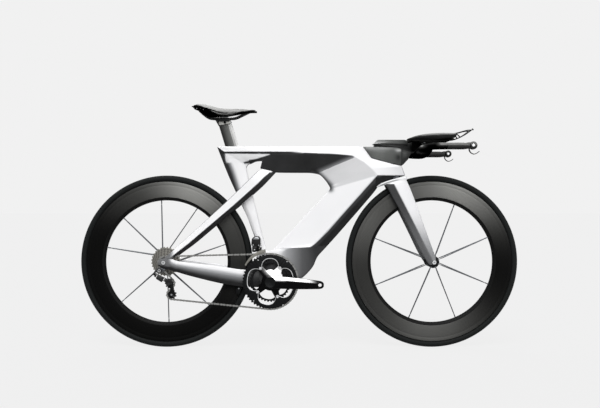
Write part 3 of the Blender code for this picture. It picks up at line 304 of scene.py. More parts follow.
# camera square to the drive side at the frame's middle height, even sky, three soft suns, pale floor
def buildStudio():
    camera = placed("camera", bpy.data.cameras.new("camera"))
    camera.location = (view["middle"][0] * mm, -view["distance"] * mm, view["middle"][1] * mm)
    camera.rotation_euler = (math.pi / 2, 0, 0)
    camera.data.lens = view["lens"]
    camera.data.sensor_width = 36
    scene.camera = camera
    scene.view_settings.view_transform = "Standard"
    world = bpy.data.worlds.new("studio")
    scene.world = world
    world.use_nodes = True
    tree = world.node_tree
    sky = addNode(tree, "Mix", {0: seenRay(tree), 6: view["ambient"], 7: linear(view["background"])}, 2,
                  data_type="RGBA")
    tree.links.new(sky, tree.nodes["Background"].inputs["Color"])
    for name, (turn, strength, spread) in lamps.items():
        lamp = bpy.data.lights.new(name, "SUN")
        lamp.energy = strength
        lamp.angle = math.radians(spread)
        placed(name, lamp).rotation_euler = [math.radians(v) for v in turn]
    floorMesh = bpy.data.meshes.new("floor")
    corners = [(x * view["floorHalf"], y * view["floorHalf"], 0) for x, y in ((-1, -1), (1, -1), (1, 1), (-1, 1))]
    floorMesh.from_pydata(corners, [], [(0, 1, 2, 3)])
    # matt studio floor: mostly its own pale glow, so that the shadow stays faint as on a bright sweep
    material, tree, shader = newMaterial("studioFloorPaintedMatt", "3c3c3c", {
        "Roughness": 1.0, "Specular IOR Level": 0.0, "Emission Color": linear(view["background"])})
    tree.links.new(addNode(tree, "Math", [seenRay(tree), view["floorGlow"]], operation="MULTIPLY"),
                   shader.inputs["Emission Strength"])
    floorMesh.materials.append(material)
    placed("floor", floorMesh)
    print("studio ready")


buildStudio()


# silver lacquer over carbon with fine metal flake; pale where a face looks up and graphite underneath is painted
# light and shade
lacquer = {"pale": "f3f3f4", "middle": "a6a7a9", "deep": "070708", "flake": 0.9, "roughness": 0.34,
           "metallic": 0.12}


# colour that runs over three with the stored tone, stirred a little by a fine and a wide pattern
def threeTones(tree, colours, middleAt, patterns, shares):
    level = addNode(tree, "Attribute", output="Fac", attribute_name="tone")
    for part, share in zip(patterns, shares):
        level = addNode(tree, "Math", [part, share, level], operation="MULTIPLY_ADD")
    level = addNode(tree, "Math", [level, sum(shares) / 2], operation="SUBTRACT")
    scale = addNode(tree, "ValToRGB", [level], "Color")
    points = scale.node.color_ramp.elements
    points[0].color, points[1].color = linear(colours[0]), linear(colours[2])
    points.new(middleAt).color = linear(colours[1])
    return scale


# flake in cells, a slow cloud in its gloss, three colours by the stored tone of painted light and shade
def makeLacquer():
    colours = lacquer["deep"], lacquer["middle"], lacquer["pale"]
    made = newMaterial("silverLacquerWithPaintedShade", colours[1], {
        "Metallic": lacquer["metallic"], "Specular IOR Level": 0.2, "Coat Weight": 0.05, "Coat Roughness": 0.12})
    tree = made[1]
    flake = pattern(tree, "Voronoi", lacquer["flake"], "Distance")
    cloud = pattern(tree, "Noise", 111.1, Detail=3.0)
    colour = threeTones(tree, colours, 0.55, (flake, cloud), (0.05, 0.06))
    rough = addNode(tree, "Math", [cloud, 0.1, lacquer["roughness"] - 0.05], operation="MULTIPLY_ADD")
    return dress(made, colour, rough, flake, 0.04)


silverLacquer = makeLacquer()


def atVertices(mesh, key):  # places or normals of all vertices, in rows of three
    values = np.zeros(len(mesh.vertices) * 3, np.float32)
    mesh.vertices.foreach_get(key, values)
    return values.reshape(-1, 3)


# one number at each vertex, kept between 0 and top, by a rule of its normal and its place in mm
def paint(obj, name, rule, top):
    values = np.clip(rule(atVertices(obj.data, "normal"), atVertices(obj.data, "co") / mm), 0, top)
    obj.data.attributes.new(name, "FLOAT", "POINT").data.foreach_set("value", values.astype(np.float32))


def paintTone(obj, rule):  # painted light and shade, between deep 0 and pale 1
    paint(obj, "tone", rule, 1)


def paintRadius(obj, centre):  # distance from the wheel's axis in mm
    paint(obj, "radius", lambda normal, place: np.hypot(place[:, 0] - centre[0], place[:, 2] - centre[1]), None)


# one finished piece: its mesh and tone, the body that it rides on, the nodes that it stands for
def piece(name, shapes, materials, body, nodes, finish, sharp=38, tone=None):
    obj = meshFrom(name, shapes, materials, sharp)
    if tone:
        paintTone(obj, tone)
    return mount(obj, body, *nodes.split(), finish=finish)


def ramp(value, low, high):  # smooth step from 0 at low to 1 at high
    t = np.clip((value - low) / (high - low), 0, 1)
    return t * t * (3 - 2 * t)


# painted light and shade: black below, pale from where a face starts to look up
def basicTone(normal):
    return 0.03 + 0.05 * ramp(normal[:, 2], -0.9, -0.3) + 0.92 * ramp(normal[:, 2], -0.1, 0.07)


# axes seen from the side: the crank's and the two wheels'
bracket = (-112.0, 261.0)
hubCentre = {"front": (518.0, 336.0), "rear": (-520.0, 336.0)}


# closed ring of stations round the main window: outer edge, crease, inner edge, each as x, z, half width
mainFrame = {
    "stations": [
        (-218, 785.4, 13.5, -213, 766.5, 16, -190, 717, 12), (-180, 785.4, 14, -178, 766, 19, -172, 726.4, 15),
        (-158, 785.4, 14, -158, 765.8, 19.4, -150, 728.8, 16), (-143, 785.4, 14, -143, 765.5, 20, -145, 727, 16),
        (-128, 785.4, 14, -128, 765.2, 20.4, -152, 708, 14), (-112, 785.4, 14, -112, 765, 20.6, -154, 698, 12),
        (-104, 785.4, 14, -104, 764.8, 20.8, -116, 687, 10), (-88, 785.4, 14, -88, 764.4, 21, -88, 682.5, 9),
        (0, 786, 14, 0, 761.5, 22, 0, 682, 9), (80, 786, 14, 75, 759, 23, 45, 682, 9),
        (149.6, 786, 15, 131.6, 757.5, 24, 79.6, 676, 10), (238, 785.4, 14, 203, 751, 24, 93, 663, 11),
        (248, 784.8, 14, 209, 749, 24, 95, 661, 11), (254, 776.5, 14, 215, 745, 24, 97, 658.5, 11),
        (276, 746, 15, 248, 727, 25, 106, 647.5, 12), (282.5, 739, 15, 253, 724, 25, 108, 645, 12),
        (291, 736.3, 15, 255, 722, 25, 108.6, 644, 12), (391.8, 710, 15, 279.7, 699.2, 26, 115.4, 633, 12),
        (400.4, 707.7, 15, 282, 697, 26, 116, 632, 12), (402.4, 703, 15, 284.5, 693.8, 26, 116.5, 631, 12),
        (411, 679.5, 15, 298.5, 677, 26, 119.4, 625.8, 13), (413.3, 670.7, 15, 301, 673, 26, 120, 624, 13),
        (404.5, 668.3, 14.6, 300.8, 672.4, 26, 119.9, 623, 13), (310.8, 641.2, 12, 297, 667, 26, 119, 617, 13),
        (304, 620, 10, 283, 652, 26.5, 112, 609, 13), (250, 556, 9, 228, 590, 27, 60, 555, 13),
        (190, 487, 9, 163, 517, 28, 5, 496, 13), (150, 441, 9, 110, 456, 30, -50, 436, 14),
        (131, 420, 10, 62, 409, 32, -103, 380, 15), (98, 384, 14, 50, 399.5, 33, -107, 377, 16),
        (69, 354, 17, 42, 395, 34, -110, 376, 16), (54, 314, 20, 18, 393.6, 34, -112, 376, 17),
        (15, 273, 22, -8, 392.2, 34, -114, 376, 17), (-30, 246, 24, -36, 391, 34, -116, 376, 17),
        (-75, 229, 25, -70, 372, 34, -118, 376, 17), (-112, 224, 25, -106, 320, 34, -120, 376, 17),
        (-150, 232, 25, -144, 250, 34, -123, 377, 16), (-168, 250, 24, -155, 262, 33, -125, 377.5, 15),
        (-168, 320, 20, -155, 324, 28, -127, 378, 14), (-167.6, 372, 7, -157, 373, 13.5, -128.4, 380, 10),
        (-174, 427, 6, -163, 427, 13, -141, 427, 8), (-186, 458, 6, -174, 458, 13, -149, 458, 8),
        (-205, 513, 6, -191, 513, 13, -162.5, 513, 8), (-225, 551, 6, -208, 551, 13, -172, 551, 8),
        (-250, 608, 6, -230, 608, 13.2, -186, 608, 8), (-274, 660, 6, -251, 660, 13.4, -199, 660, 8),
        (-292, 704, 6, -267, 702, 13.6, -206.6, 698, 8), (-309, 748, 7, -283, 744, 14.3, -206, 706, 8),
        (-320.2, 777.6, 7.8, -290.2, 760, 14.9, -204.8, 708.4, 8), (-323, 785, 8, -292, 764, 15, -204.5, 709, 8),
        (-316.8, 785.3, 9, -287.2, 763.8, 15.2, -204, 709.6, 8), (-292, 786, 13, -268, 763, 16, -202, 712, 8),
        (-255, 786, 13.5, -243, 763, 16, -198, 716, 8)],
    "edgeRadius": 6.0, "creaseRadius": 4.0, "bulge": 1.6, "step": 7.0}

seatpostSize = {"top": (-291.3, 874.0), "lean": 16.9, "chord": 51.0, "thick": 21.0, "length": 172.0}


# a point by its way down the leaning post from its top, and across it
def postPoint(along, across):
    lean = math.radians(seatpostSize["lean"])
    return (seatpostSize["top"][0] + along * math.sin(lean) + across * math.cos(lean),
            seatpostSize["top"][1] - along * math.cos(lean) + across * math.sin(lean))


# teardrop prism along the seatpost's line, grown all round
def postShape(start, end, grow=0.0):
    share = np.array([-0.5, -0.42, -0.15, 0.2, 0.42, 0.5])
    half = np.array([0.3, 0.75, 1.0, 1.0, 0.75, 0.3]) * seatpostSize["thick"] / 2 + grow
    chord = share * (seatpostSize["chord"] + 2 * grow)
    flat = roundLoop(np.stack([np.concatenate([chord, chord[::-1]]), np.concatenate([half, -half[::-1]])], -1),
                     6, 5)
    rows = []
    for along in (start, end):
        spots = np.array([postPoint(along, a) for a in flat[:, 0]])
        rows.append(np.stack([spots[:, 0], flat[:, 1], spots[:, 1]], -1))
    return grid(rows, capped=True)


# every gap of the loops is cut evenly, after its widest row, into pieces no longer than step
def denser(rows, step, closed=True):
    ahead = np.roll(rows, -1, 1)
    if not closed:
        ahead[:, -1] = rows[:, -1]
    cuts = np.maximum(np.ceil(np.linalg.norm(ahead - rows, axis=-1).max(0) / step), 1).astype(int)
    parts = []
    for k, count in enumerate(cuts):
        share = np.arange(count)[None, :, None] / count
        parts.append(rows[:, k, None] + (ahead[:, k, None] - rows[:, k, None]) * share)
    return np.concatenate(parts, 1)


# each station's corners lie in the plane through its three points; the corners are rounded, then the rows
def buildMainFrame():
    s = np.array(mainFrame["stations"], float).reshape(-1, 3, 3)
    outer, crease, inner = s[:, 0], s[:, 1], s[:, 2]
    middle = crease + (inner - crease) * 0.5 + np.array([0, 0, mainFrame["bulge"]])
    side = np.stack([outer, crease, middle, inner], 1)
    left = np.stack([side[..., 0], side[..., 2], side[..., 1]], -1)
    right = left[:, ::-1] * np.array([1, -1, 1])
    corners = softRows(np.concatenate([left, right], 1), 0.4, 5, closed=True)
    radius = [mainFrame["edgeRadius"], mainFrame["creaseRadius"], 30, mainFrame["edgeRadius"]]
    rows = denser(roundLoop(corners, radius + radius[::-1], 5), mainFrame["step"])
    rows = denser(rows.swapaxes(0, 1), mainFrame["step"]).swapaxes(0, 1)
    shell = meshFrom("frameShell", [grid(rows, loopRows=True)], [silverLacquer], 50)
    carve(shell, meshFrom("socket", [postShape(60, 205, 0.5)], []), 50)
    bore(shell, bracket, 20.6, -60, 60, 48, 50)
    paintTone(shell, frameTone)
    return mount(shell, "frame", "top_tube", "head_tube", "down_tube", "bottom_bracket_shell", "seat_tube",
                 finish="silver_paint")


# distance of each point, seen from the side, to the nearest stretch of a line of (x, z) points
def awayFrom(place, line):
    flat = place[:, [0, 2]]
    line = np.array(line, float)
    best = np.full(len(flat), 1e9)
    for start, end in zip(line[:-1], line[1:]):
        run = end - start
        t = np.clip(((flat - start) @ run) / (run @ run), 0, 1)
        best = np.minimum(best, np.linalg.norm(flat - start - t[:, None] * run, axis=1))
    return best


def pastLine(place, start, end):  # how far a point lies to the right of the way from start to end
    run = np.subtract(end, start) / np.linalg.norm(np.subtract(end, start))
    return (place[:, 0] - start[0]) * run[1] - (place[:, 2] - start[1]) * run[0]


def inside(place, corners, soft=2.0):  # 1 within a convex outline given clockwise, fading over its rim
    corners = list(corners)
    depth = np.min([pastLine(place, a, b) for a, b in zip(corners, corners[1:] + corners[:1])], axis=0)
    return ramp(depth, -soft, soft)


# lines and outlines of the frame's painted highlights and painted shade
shade = {
    "ridge": [(209, 749), (253, 724), (284, 695), (300, 671), (283, 652), (228, 590), (163, 517), (110, 456),
              (62, 409), (50, 399.5), (42, 395), (18, 393.6), (-36, 391), (-78, 388)],
    "patch": [(-290, 757), (-117, 755), (-107, 746), (-136, 741), (-168, 736.5), (-204, 725.3), (-240, 719.7),
              (-290, 713)],
    "wedge": [(-218, 724), (-168, 737), (-110, 742), (-110, 733), (-150, 727), (-180, 722), (-206, 694)],
    "corner": [(60, 690), (73, 680), (100, 654), (121, 632), (122, 618)],
    "headFront": [(402, 713), (414, 671)]}


# painted light and shade on the main frame's lacquer: facets by the way they look, then soft painted shade and
# highlights on each tube
def frameTone(normal, place):
    x, z = place[:, 0], place[:, 2]
    side = ramp(np.abs(normal[:, 1]), 0.2, 0.45)
    tone = basicTone(normal)
    # painted shade: the facet under the top tube is nearly black and clears towards the head
    clear = pastLine(place, (77, 694), (206, 749))
    lower = ramp(-normal[:, 2], -0.05, 0.08) * ramp(z, 672, 690) * (x > -330)
    under = 0.02 + 0.05 * ramp(z, 748, 764) * ramp(x, -150, -60) + 0.85 * ramp(clear, -10, 34)
    tone = np.where(lower > 0.5, under, tone)
    head = side * (clear > 10) * (x > 60) * (z > 590)
    tone = np.where(head > 0.5, np.maximum(tone, 0.86), tone)
    # painted shade along the window's corner under the head
    tone *= 1 - 0.9 * np.exp(-(awayFrom(place, shade["corner"]) / 11) ** 2) * (x > 40)
    # seat tube: a painted shade band along its back edge that fades forwards
    back = pastLine(place, (-174, 427), (-309, 748))
    tube = side * ramp(-z, -758, -752) * (pastLine(place, (-128, 380), (-204, 700)) < 14) * ramp(z, 372, 380)
    fade = 10 + 8 * ramp(z, 600, 700)
    band = 0.03 + 0.97 * ramp(back, fade - 8, fade + 20)
    tone = np.where(tube > 0.5, np.where(z > 590, band, 0.98 * ramp(back, 1, 4)), tone)
    # seat cluster: a painted highlight patch above a black wedge of painted shade round the small window
    tone *= 1 - 0.98 * inside(place, shade["wedge"], 3.0) * side
    patch = inside(place, shade["patch"]) * side * ramp(back, 7, 17)
    tone = tone * (1 - patch) + patch
    # a thin painted shade line along the top tube's crease
    tone *= 1 - 0.95 * ramp(-np.abs(z - 761.5), -4.5, -2.5) * side * ramp(-x, -20, 40)
    # down tube: a painted highlight on the ridge, painted shade on the strip outside it, and a grey bracket side
    # that darkens forwards as painted shade
    reach = pastLine(place, (62, 409), (283, 652))
    outside = side * (reach > 1.5) * (x > 20) * (z > 380) * (z < 672)
    tone = np.where(outside > 0.5, 0.07 - 0.06 * ramp(reach, 8, 22), tone)
    below = side * (z < 408) * (pastLine(place, (-78, 388.5), (42, 394.6)) > 0) * (x > -125)
    tone = np.where(below > 0.5, np.interp(x, [-120, -80, -50, -20, 10, 60], [0.95, 0.9, 0.55, 0.33, 0.15, 0.05]),
                    tone)
    ridge = np.exp(-(awayFrom(place, shade["ridge"]) / 2.2) ** 2) * ramp(np.abs(place[:, 1]), 15, 22)
    tone = np.maximum(tone, ridge)
    # head: a thin painted shade line in front, painted shade under it, a painted shadow behind the rings
    tone *= 1 - 0.8 * np.exp(-(awayFrom(place, shade["headFront"]) / 3.5) ** 2)
    tone *= 1 - 0.95 * ramp(pastLine(place, (302, 664), (402, 671)), -1.5, 1.5) * (x > 297) * (z > 600)
    rings = np.hypot(x - bracket[0], z - bracket[1])
    return tone * (1 - 0.96 * ramp(-rings, -99, -90) * ramp(-place[:, 1], 0, 10))


# side blades: upper edge, lower edge, middle and half thickness across at each station
stays = {
    "seat": [((-128, 702), (-90, 687), 2.0, 4.0), ((-150, 697), (-98, 678), 9.0, 6.0),
             ((-161, 690), (-120, 655), 15.5, 6.6), ((-190, 661.5), (-150, 624), 21.0, 6.8),
             ((-280, 573), (-241, 546), 28.0, 6.5),
             ((-370, 489), (-345, 461), 40.0, 6.0), ((-439, 425), (-418, 400), 53.0, 5.0),
             ((-492, 376), (-472, 362), 64.5, 4.2), ((-516, 353), (-487, 350), 68.6, 3.5)],
    "chain": [((-150, 304), (-150, 236), 24.0, 6.5), ((-168.6, 306), (-168.6, 237), 26.5, 6.5),
              ((-221, 304), (-221, 238), 28.0, 6.5), ((-306, 319), (-306, 252), 36.0, 6.5),
              ((-422, 334), (-422, 283), 53.0, 6.0), ((-470, 341), (-470, 299), 63.0, 4.6),
              ((-492, 352), (-488, 305), 68.4, 3.6), ((-530, 352), (-530, 316), 68.8, 3.5),
              ((-542, 343), (-541, 324), 68.8, 3.5)],
    "crease": {"seat": 0.63, "chain": 0.42}}


# six corners at each station: both edges half as thick as the crease; corners, then rows are rounded
def bladeShape(stations, side, crease, edge=0.5, radius=3.0):
    upper = np.array([s[0] for s in stations], float)
    lower = np.array([s[1] for s in stations], float)
    across = np.array([s[2:4] for s in stations], float)
    middle = upper + (lower - upper) * crease
    rows = []
    for flat, share in ((upper, edge), (middle, 1), (lower, edge), (lower, -edge), (middle, -1), (upper, -edge)):
        rows.append(np.stack([flat[:, 0], side * (across[:, 0] + share * across[:, 1]), flat[:, 1]], -1))
    corners = roundLoop(softRows(np.stack(rows, 1), 0.42, 5), radius, 4)
    rows = denser(denser(corners, 5.0).swapaxes(0, 1), 5.0, closed=False).swapaxes(0, 1)
    return grid(rows, capped=True)


def stayShare(place, kind):  # 0 on a stay's upper edge, 1 on its lower edge, as seen from the side
    top, low = (np.array([s[k] for s in stays[kind]], float) for k in (0, 1))
    down = np.zeros(len(place))
    for k in range(len(top) - 1):
        a, b, c, d = top[k], top[k + 1], low[k], low[k + 1]
        within = (pastLine(place, a, c) >= -0.5) & (pastLine(place, b, d) <= 0.5)
        high, deep = -pastLine(place, a, b), pastLine(place, c, d)
        down = np.where(within, high / (high + deep + 1e-6), down)
    return down


# painted light and shade: pale from the upper edge to the crease, black below; grey at the dropout
def seatStayTone(normal, place):
    down = stayShare(place, "seat")
    tone = 0.98 * ramp(down, 0.0, 0.05) * ramp(-down, -0.66, -0.61)
    end = ramp(-place[:, 0], 476, 498)
    return tone * (1 - end) + 0.2 * end


# painted light and shade: pale above, darkening in steps towards the lower edge; grey at the dropout
def chainStayTone(normal, place):
    down = stayShare(place, "chain")
    tone = np.interp(down, [0, 0.18, 0.32, 0.54, 0.68, 0.78, 1], [1, 1, 0.56, 0.25, 0.07, 0, 0])
    # painted shadow of the chainrings on the right stay near the bracket
    tone *= 1 - 0.9 * ramp(place[:, 0], -212, -200) * (place[:, 1] < 0)
    end = ramp(-place[:, 0], 486, 504) * ramp(-down, -0.78, -0.66)
    return tone * (1 - end) + 0.2 * end


# both pairs of blades from the dropouts to the seat tube and the bracket
def buildStays():
    for side, word in ((-1, "right"), (1, "left")):
        for kind, node in (("seat", "_seatstay"), ("chain", "_chainstay")):
            piece(word + kind.capitalize() + "Stay", [bladeShape(stays[kind], side, stays["crease"][kind])],
                  [silverLacquer], "frame", word + node, "silver_paint", 50,
                  tone=seatStayTone if kind == "seat" else chainStayTone)


buildMainFrame()
buildStays()
print("frame built")


# fork: both blades and the crown are filled into one skin, then smoothed
fork = {
    "blade": [((408, 662), (334, 638), 24.0, 5.0), ((414, 657), (335, 636), 28.5, 6.5),
              ((420, 645), (338, 629), 31.0, 7.5), ((431, 619), (357, 590), 33.5, 9.0),
              ((450, 568), (388, 538), 37.5, 9.5), ((487, 462), (433, 449), 45.5, 8.5),
              ((514, 385), (468, 377), 53.0, 6.5), ((527, 350), (486, 345), 55.0, 4.5),
              ((524, 328), (500, 325), 55.0, 4.5)],
    "skin": 2.0}


# the objects' skins become one: filled with cells of that size, then the steps are smoothed away
def fuse(obj, cell, smooth=3):
    mod = obj.modifiers.new("fill", "REMESH")
    mod.mode = "VOXEL"
    mod.voxel_size = cell * mm
    mod = obj.modifiers.new("smooth", "SMOOTH")
    mod.factor = 0.5
    mod.iterations = smooth
    return settle(obj, 60)


# crown lofted across and two blades, fused, then drilled for the axle
def buildFork():
    top = [(300.5, 628), (317, 639.5), (335, 648), (361, 656), (392, 662.5), (415.5, 668)]
    under = [(419, 655), (400, 644), (366, 638), (338, 636), (320, 631), (303, 625)]
    rows = []
    for y, lift in ((-33, -3.0), (-31, -0.5), (-26, 0), (0, 0), (26, 0), (31, -0.5), (33, -3.0)):
        rows.append([(x, y, z + lift) for x, z in top] + [(x, y, z - min(lift, 0) * 0.5) for x, z in under])
    shapes = [grid(rows, capped=True)]
    shapes += [bladeShape(fork["blade"], side, 0.55, 0.4, 4.0) for side in (-1, 1)]
    skin = fuse(meshFrom("forkShell", shapes, [silverLacquer]), fork["skin"])
    for side in (-1, 1):
        bore(skin, hubCentre["front"], 6.4, side * 44, side * 66, sharp=60)
    paintTone(skin, forkTone)
    return mount(skin, "steering", "fork_crown", "right_fork_blade", "left_fork_blade", finish="silver_paint")


# painted light and shade: pale ahead of each blade's crease, black behind, with a painted highlight arch on the
# crown
def forkTone(normal, place):
    x, z = place[:, 0], place[:, 2]
    ahead = pastLine(place, (504.4, 360.8), (366.5, 637.8))
    front = 0.98 - 0.62 * ramp(-z, -560, -350)
    rear = 0.06 + 0.12 * ramp(-z, -620, -400)
    rear *= 1 - 0.85 * ramp(-ahead, 24, 31) * ramp(-z, -640, -600)
    tone = rear + (front - rear) * ramp(ahead, -2.5, 2.5)
    tone *= 1 - 0.5 * ramp(pastLine(place, (524, 385), (446, 590)), -5, -1) * ramp(-z, -600, -450)
    # the crown: a painted highlight along its arched top, a thin painted shade line below, pale again over the
    # blade
    crown = ramp(z, 636.5, 639.5) + (x < 336) * ramp(z, 622, 626)
    arch = np.interp(x, [300, 317, 335, 361, 392, 415], [628, 639.5, 648, 656, 662.5, 668])
    pale = 0.95 - 0.5 * np.exp(-((arch - z - 7) / 3) ** 2) * ramp(-x, -400, -370)
    return np.where(crown > 0.5, pale, tone)


buildFork()
print("fork built")


# 2/2 twill on the length map: warp is 1 where the lengthwise tow lies on top, height bulges over each tow
def twill(tree, tow):
    parts = addNode(tree, "SeparateXYZ", [addNode(tree, "UVMap", uv_map="lengthMap")]).node.outputs
    total, ridges = 0.0, []
    for way in ("X", "Y"):
        tows = addNode(tree, "Math", [parts[way], tow * mm], operation="DIVIDE")
        whole = addNode(tree, "Math", [tows], operation="FLOOR")
        total = addNode(tree, "Math", [whole, total], operation="ADD")
        within = addNode(tree, "Math", [tows], operation="FRACT")
        angle = addNode(tree, "Math", [within, math.pi], operation="MULTIPLY")
        ridges.append(addNode(tree, "Math", [angle], operation="SINE"))
    stepped = addNode(tree, "Math", [total, 4.0], operation="FLOORED_MODULO")
    warp = addNode(tree, "Math", [stepped, 1.5], operation="LESS_THAN")
    return warp, addNode(tree, "Mix", {0: warp, 2: ridges[1], 3: ridges[0]}, data_type="FLOAT")


# carbon cloth under clear resin, paler where the warp lies on top; tows 2 mm wide are real, 4 mm coarse to show
def makeCarbon(name, dark, light, tow, roughness, strength, gloss, toned=False):
    made = newMaterial(name, dark, {"Specular IOR Level": gloss})
    tree = made[1]
    warp, height = twill(tree, tow)
    cloud = addNode(tree, "Math", [pattern(tree, "Noise", 71.43, Detail=4.0), 0.5], operation="MULTIPLY")
    level = addNode(tree, "Math", [warp, 0.55, cloud], operation="MULTIPLY_ADD")
    # toned: the colour is scaled by the tone, a painted sheen
    if toned:
        tone = addNode(tree, "Attribute", output="Fac", attribute_name="tone")
        level = addNode(tree, "Math", [level, 0.3, 0.84], operation="MULTIPLY_ADD")
        level = addNode(tree, "Math", [tone, level], operation="MULTIPLY")
    colour = addNode(tree, "Mix", {0: level, 6: linear(dark), 7: linear(light)}, 2, data_type="RGBA")
    rough = addNode(tree, "Math", [warp, 0.12, roughness], operation="MULTIPLY_ADD")
    return dress(made, colour, rough, height, strength, 0.0006)


# ground band that the brake pads bear on: matt, with the rings of the stone some 0.6 mm apart; lighter where the
# rim's painted sheen in the tone lies
def makeBrakeBand():
    made = newMaterial("rimBandGroundResin", "62625e", {"Roughness": 0.5, "Specular IOR Level": 0.02})
    tree = made[1]
    tone, radius = [addNode(tree, "Attribute", output="Fac", attribute_name=name) for name in ("tone", "radius")]
    ring = addNode(tree, "TexNoise", {"W": radius, "Scale": 1.6, "Detail": 2.0}, "Fac", noise_dimensions="1D")
    level = addNode(tree, "Math", [ring, 0.4, 0.8], operation="MULTIPLY_ADD")
    level = addNode(tree, "Math", [tone, level], operation="MULTIPLY")
    colour = addNode(tree, "Mix", {0: level, 6: linear("060606"), 7: linear("b4b4b0")}, 2, data_type="RGBA")
    return dress(made, colour, None, ring, 0.2, 0.0003)


# vulcanised tyre rubber: matt, faintly ribbed by the mould, black where the wall meets the rim
def makeRubber():
    made = newMaterial("tyreRubberVulcanised", "232324", {"Specular IOR Level": 0.1})
    tree = made[1]
    radius = addNode(tree, "Attribute", output="Fac", attribute_name="radius")
    wall = addNode(tree, "MapRange", [radius, 313.0, 318.0])
    grit = pattern(tree, "Noise", 3.846, Detail=3.0)
    base = addNode(tree, "Mix", {0: wall, 6: linear("0b0c0c"), 7: linear("1a1c1c")}, 2, data_type="RGBA")
    share = addNode(tree, "Math", [grit, 0.25], operation="MULTIPLY")
    tint = addNode(tree, "Mix", {0: share, 6: base, 7: linear("3c3c3c")}, 2, data_type="RGBA",
                   blend_type="OVERLAY")
    angle = addNode(tree, "Math", [radius, 2 * math.pi / 1.5], operation="MULTIPLY")
    rib = addNode(tree, "Math", [angle], operation="SINE")
    rough = addNode(tree, "Math", [grit, 0.28, 0.5], operation="MULTIPLY_ADD")
    return dress(made, tint, rough, addNode(tree, "Math", [rib, grit], operation="ADD"), 0.15, 0.0003)


# turned or forged metal: fine lines of the tool, colour and gloss for each finish
def makeMetal(name, colour, roughness, metallic=1.0):
    made = newMaterial(name, colour, {"Metallic": metallic})
    tree = made[1]
    fine, wide = pattern(tree, "Noise", 0.5, Detail=2.0), pattern(tree, "Noise", 22.22, Detail=3.0)
    rough = addNode(tree, "Math", [wide, 0.12, roughness - 0.12], operation="MULTIPLY_ADD")
    rough = addNode(tree, "Math", [fine, 0.12, rough], operation="MULTIPLY_ADD")
    shaded = [c * 0.78 for c in linear(colour)[:3]] + [1.0]
    tint = addNode(tree, "Mix", {0: wide, 6: shaded, 7: linear(colour)}, 2, data_type="RGBA")
    return dress(made, tint, rough, fine, 0.08)


rimCarbon = makeCarbon("rimCarbonTwillResin", "040404", "b4b4b0", 2.0, 0.4, 0.03, 0.02, True)
rimBlack = makeCarbon("rimCarbonBlackEdge", "020202", "0b0b0b", 4.0, 0.45, 0.12, 0.1)
tyreRubber = makeRubber()
brakeBand = makeBrakeBand()
blackAlloy = makeMetal("alloyBlackAnodised", "121314", 0.36, 0.85)
brightAlloy = makeMetal("alloyPolished", "d8d9da", 0.22)
brushedSteel = makeMetal("steelBrushed", "9a9c9e", 0.3)
darkSteel = makeMetal("steelDarkNickelled", "55575a", 0.3)

# wheels: half profiles are radius and across; spokes are rim angle in degrees and offset at the hub
wheels = {
    "steps": 180, "tyreRadius": 12.5, "outer": 336.0, "bead": (311.5, 7.5), "brakeBand": (299, 310.2),
    "innerEdge": 248.5, "spokeEnd": 239.2, "spokeWidth": 2.2,
    "rim": [(310.9, 8.4), (311.4, 10.6), (311.2, 11.9), (310, 12.3), (299.2, 12.5), (298.4, 12.1), (297, 12.6),
            (289, 13.0), (280, 13.0), (271, 12.5), (260, 11.3), (251, 9.2), (246, 7.4), (240.5, 4.2),
            (238.3, 1.8)],
    "frontSpokes": [(23 + 45 * k, 0) for k in range(8)],
    "rearSpokes": [(16, -14), (60, 16), (95, 12), (135, -6), (167, -16), (222, 4), (272, 4), (314, -16)],
    # painted sheen on each rim: lobes of share, angle and width round the hub
    "frontSheen": [(0.68, 75, 34), (0.22, 148, 28), (0.06, 205, 30), (0.22, 268, 38)],
    "rearSheen": [(0.66, 70, 27), (0.08, 15, 30), (0.07, 118, 22)]}


# hubs: profile of (radius, across), flanges of (across, radius), ring caps of (radius, from, to)
hubs = {
    "front": {"profile": [(6.4, -48.5), (10.2, -48.5), (10.5, -47), (10.5, -38.6), (22.5, -37.2), (24, -36),
                          (24, -34), (22.5, -33), (13.6, -31), (12.4, -24), (11.5, 0), (12.4, 24), (13.6, 31),
                          (22.5, 33), (24, 34), (24, 36), (22.5, 37.2), (10.5, 38.6), (10.5, 47), (10.2, 48.5),
                          (6.4, 48.5)],
              "flanges": ((-35, 22), (35, 22)), "caps": ((14, -46, -41), (14, 41, 46))},
    "rear": {"profile": [(6.4, -64), (15, -64), (15.5, -63), (15.5, -19.2), (24.5, -18.2), (26, -17), (26, -15),
                         (24.5, -14), (15, -12), (13, 0), (15, 31), (21.5, 33), (23, 34), (23, 36), (21.5, 37),
                         (12, 39), (12, 63), (11.5, 64), (6.4, 64)],
             "flanges": ((-16, 24), (35, 21)), "caps": ((15, 42, 50), (14, 53, 58))}}


# bladed spoke: an oval section carried from flange to rim, wide and thin in the middle, round at the ends
def spokeShape(centre, angle, offset, flangeY, rimY, flangeR):
    a = math.radians(angle)
    way, side = np.array([math.cos(a), math.sin(a)]), np.array([-math.sin(a), math.cos(a)])
    inner = side * offset + way * math.sqrt(max(flangeR ** 2 - offset ** 2, 1))
    outer = way * wheels["spokeEnd"]
    t = np.array([0, 0.04, 0.08, 0.9, 0.94, 0.945, 1.0])
    flat = inner + (outer - inner) * t[:, None]
    path = np.stack([centre[0] + flat[:, 0], flangeY + (rimY - flangeY) * t, centre[1] + flat[:, 1]], -1)
    scale = np.array([[1, 1], [1, 1], [1.7, 0.55], [1.7, 0.55], [1, 1], [1.75, 1.75], [1.75, 1.75]])
    return carried(path, oval(wheels["spokeWidth"], wheels["spokeWidth"], 8), scale, turnTo=(0, 1, 0), slot=1)


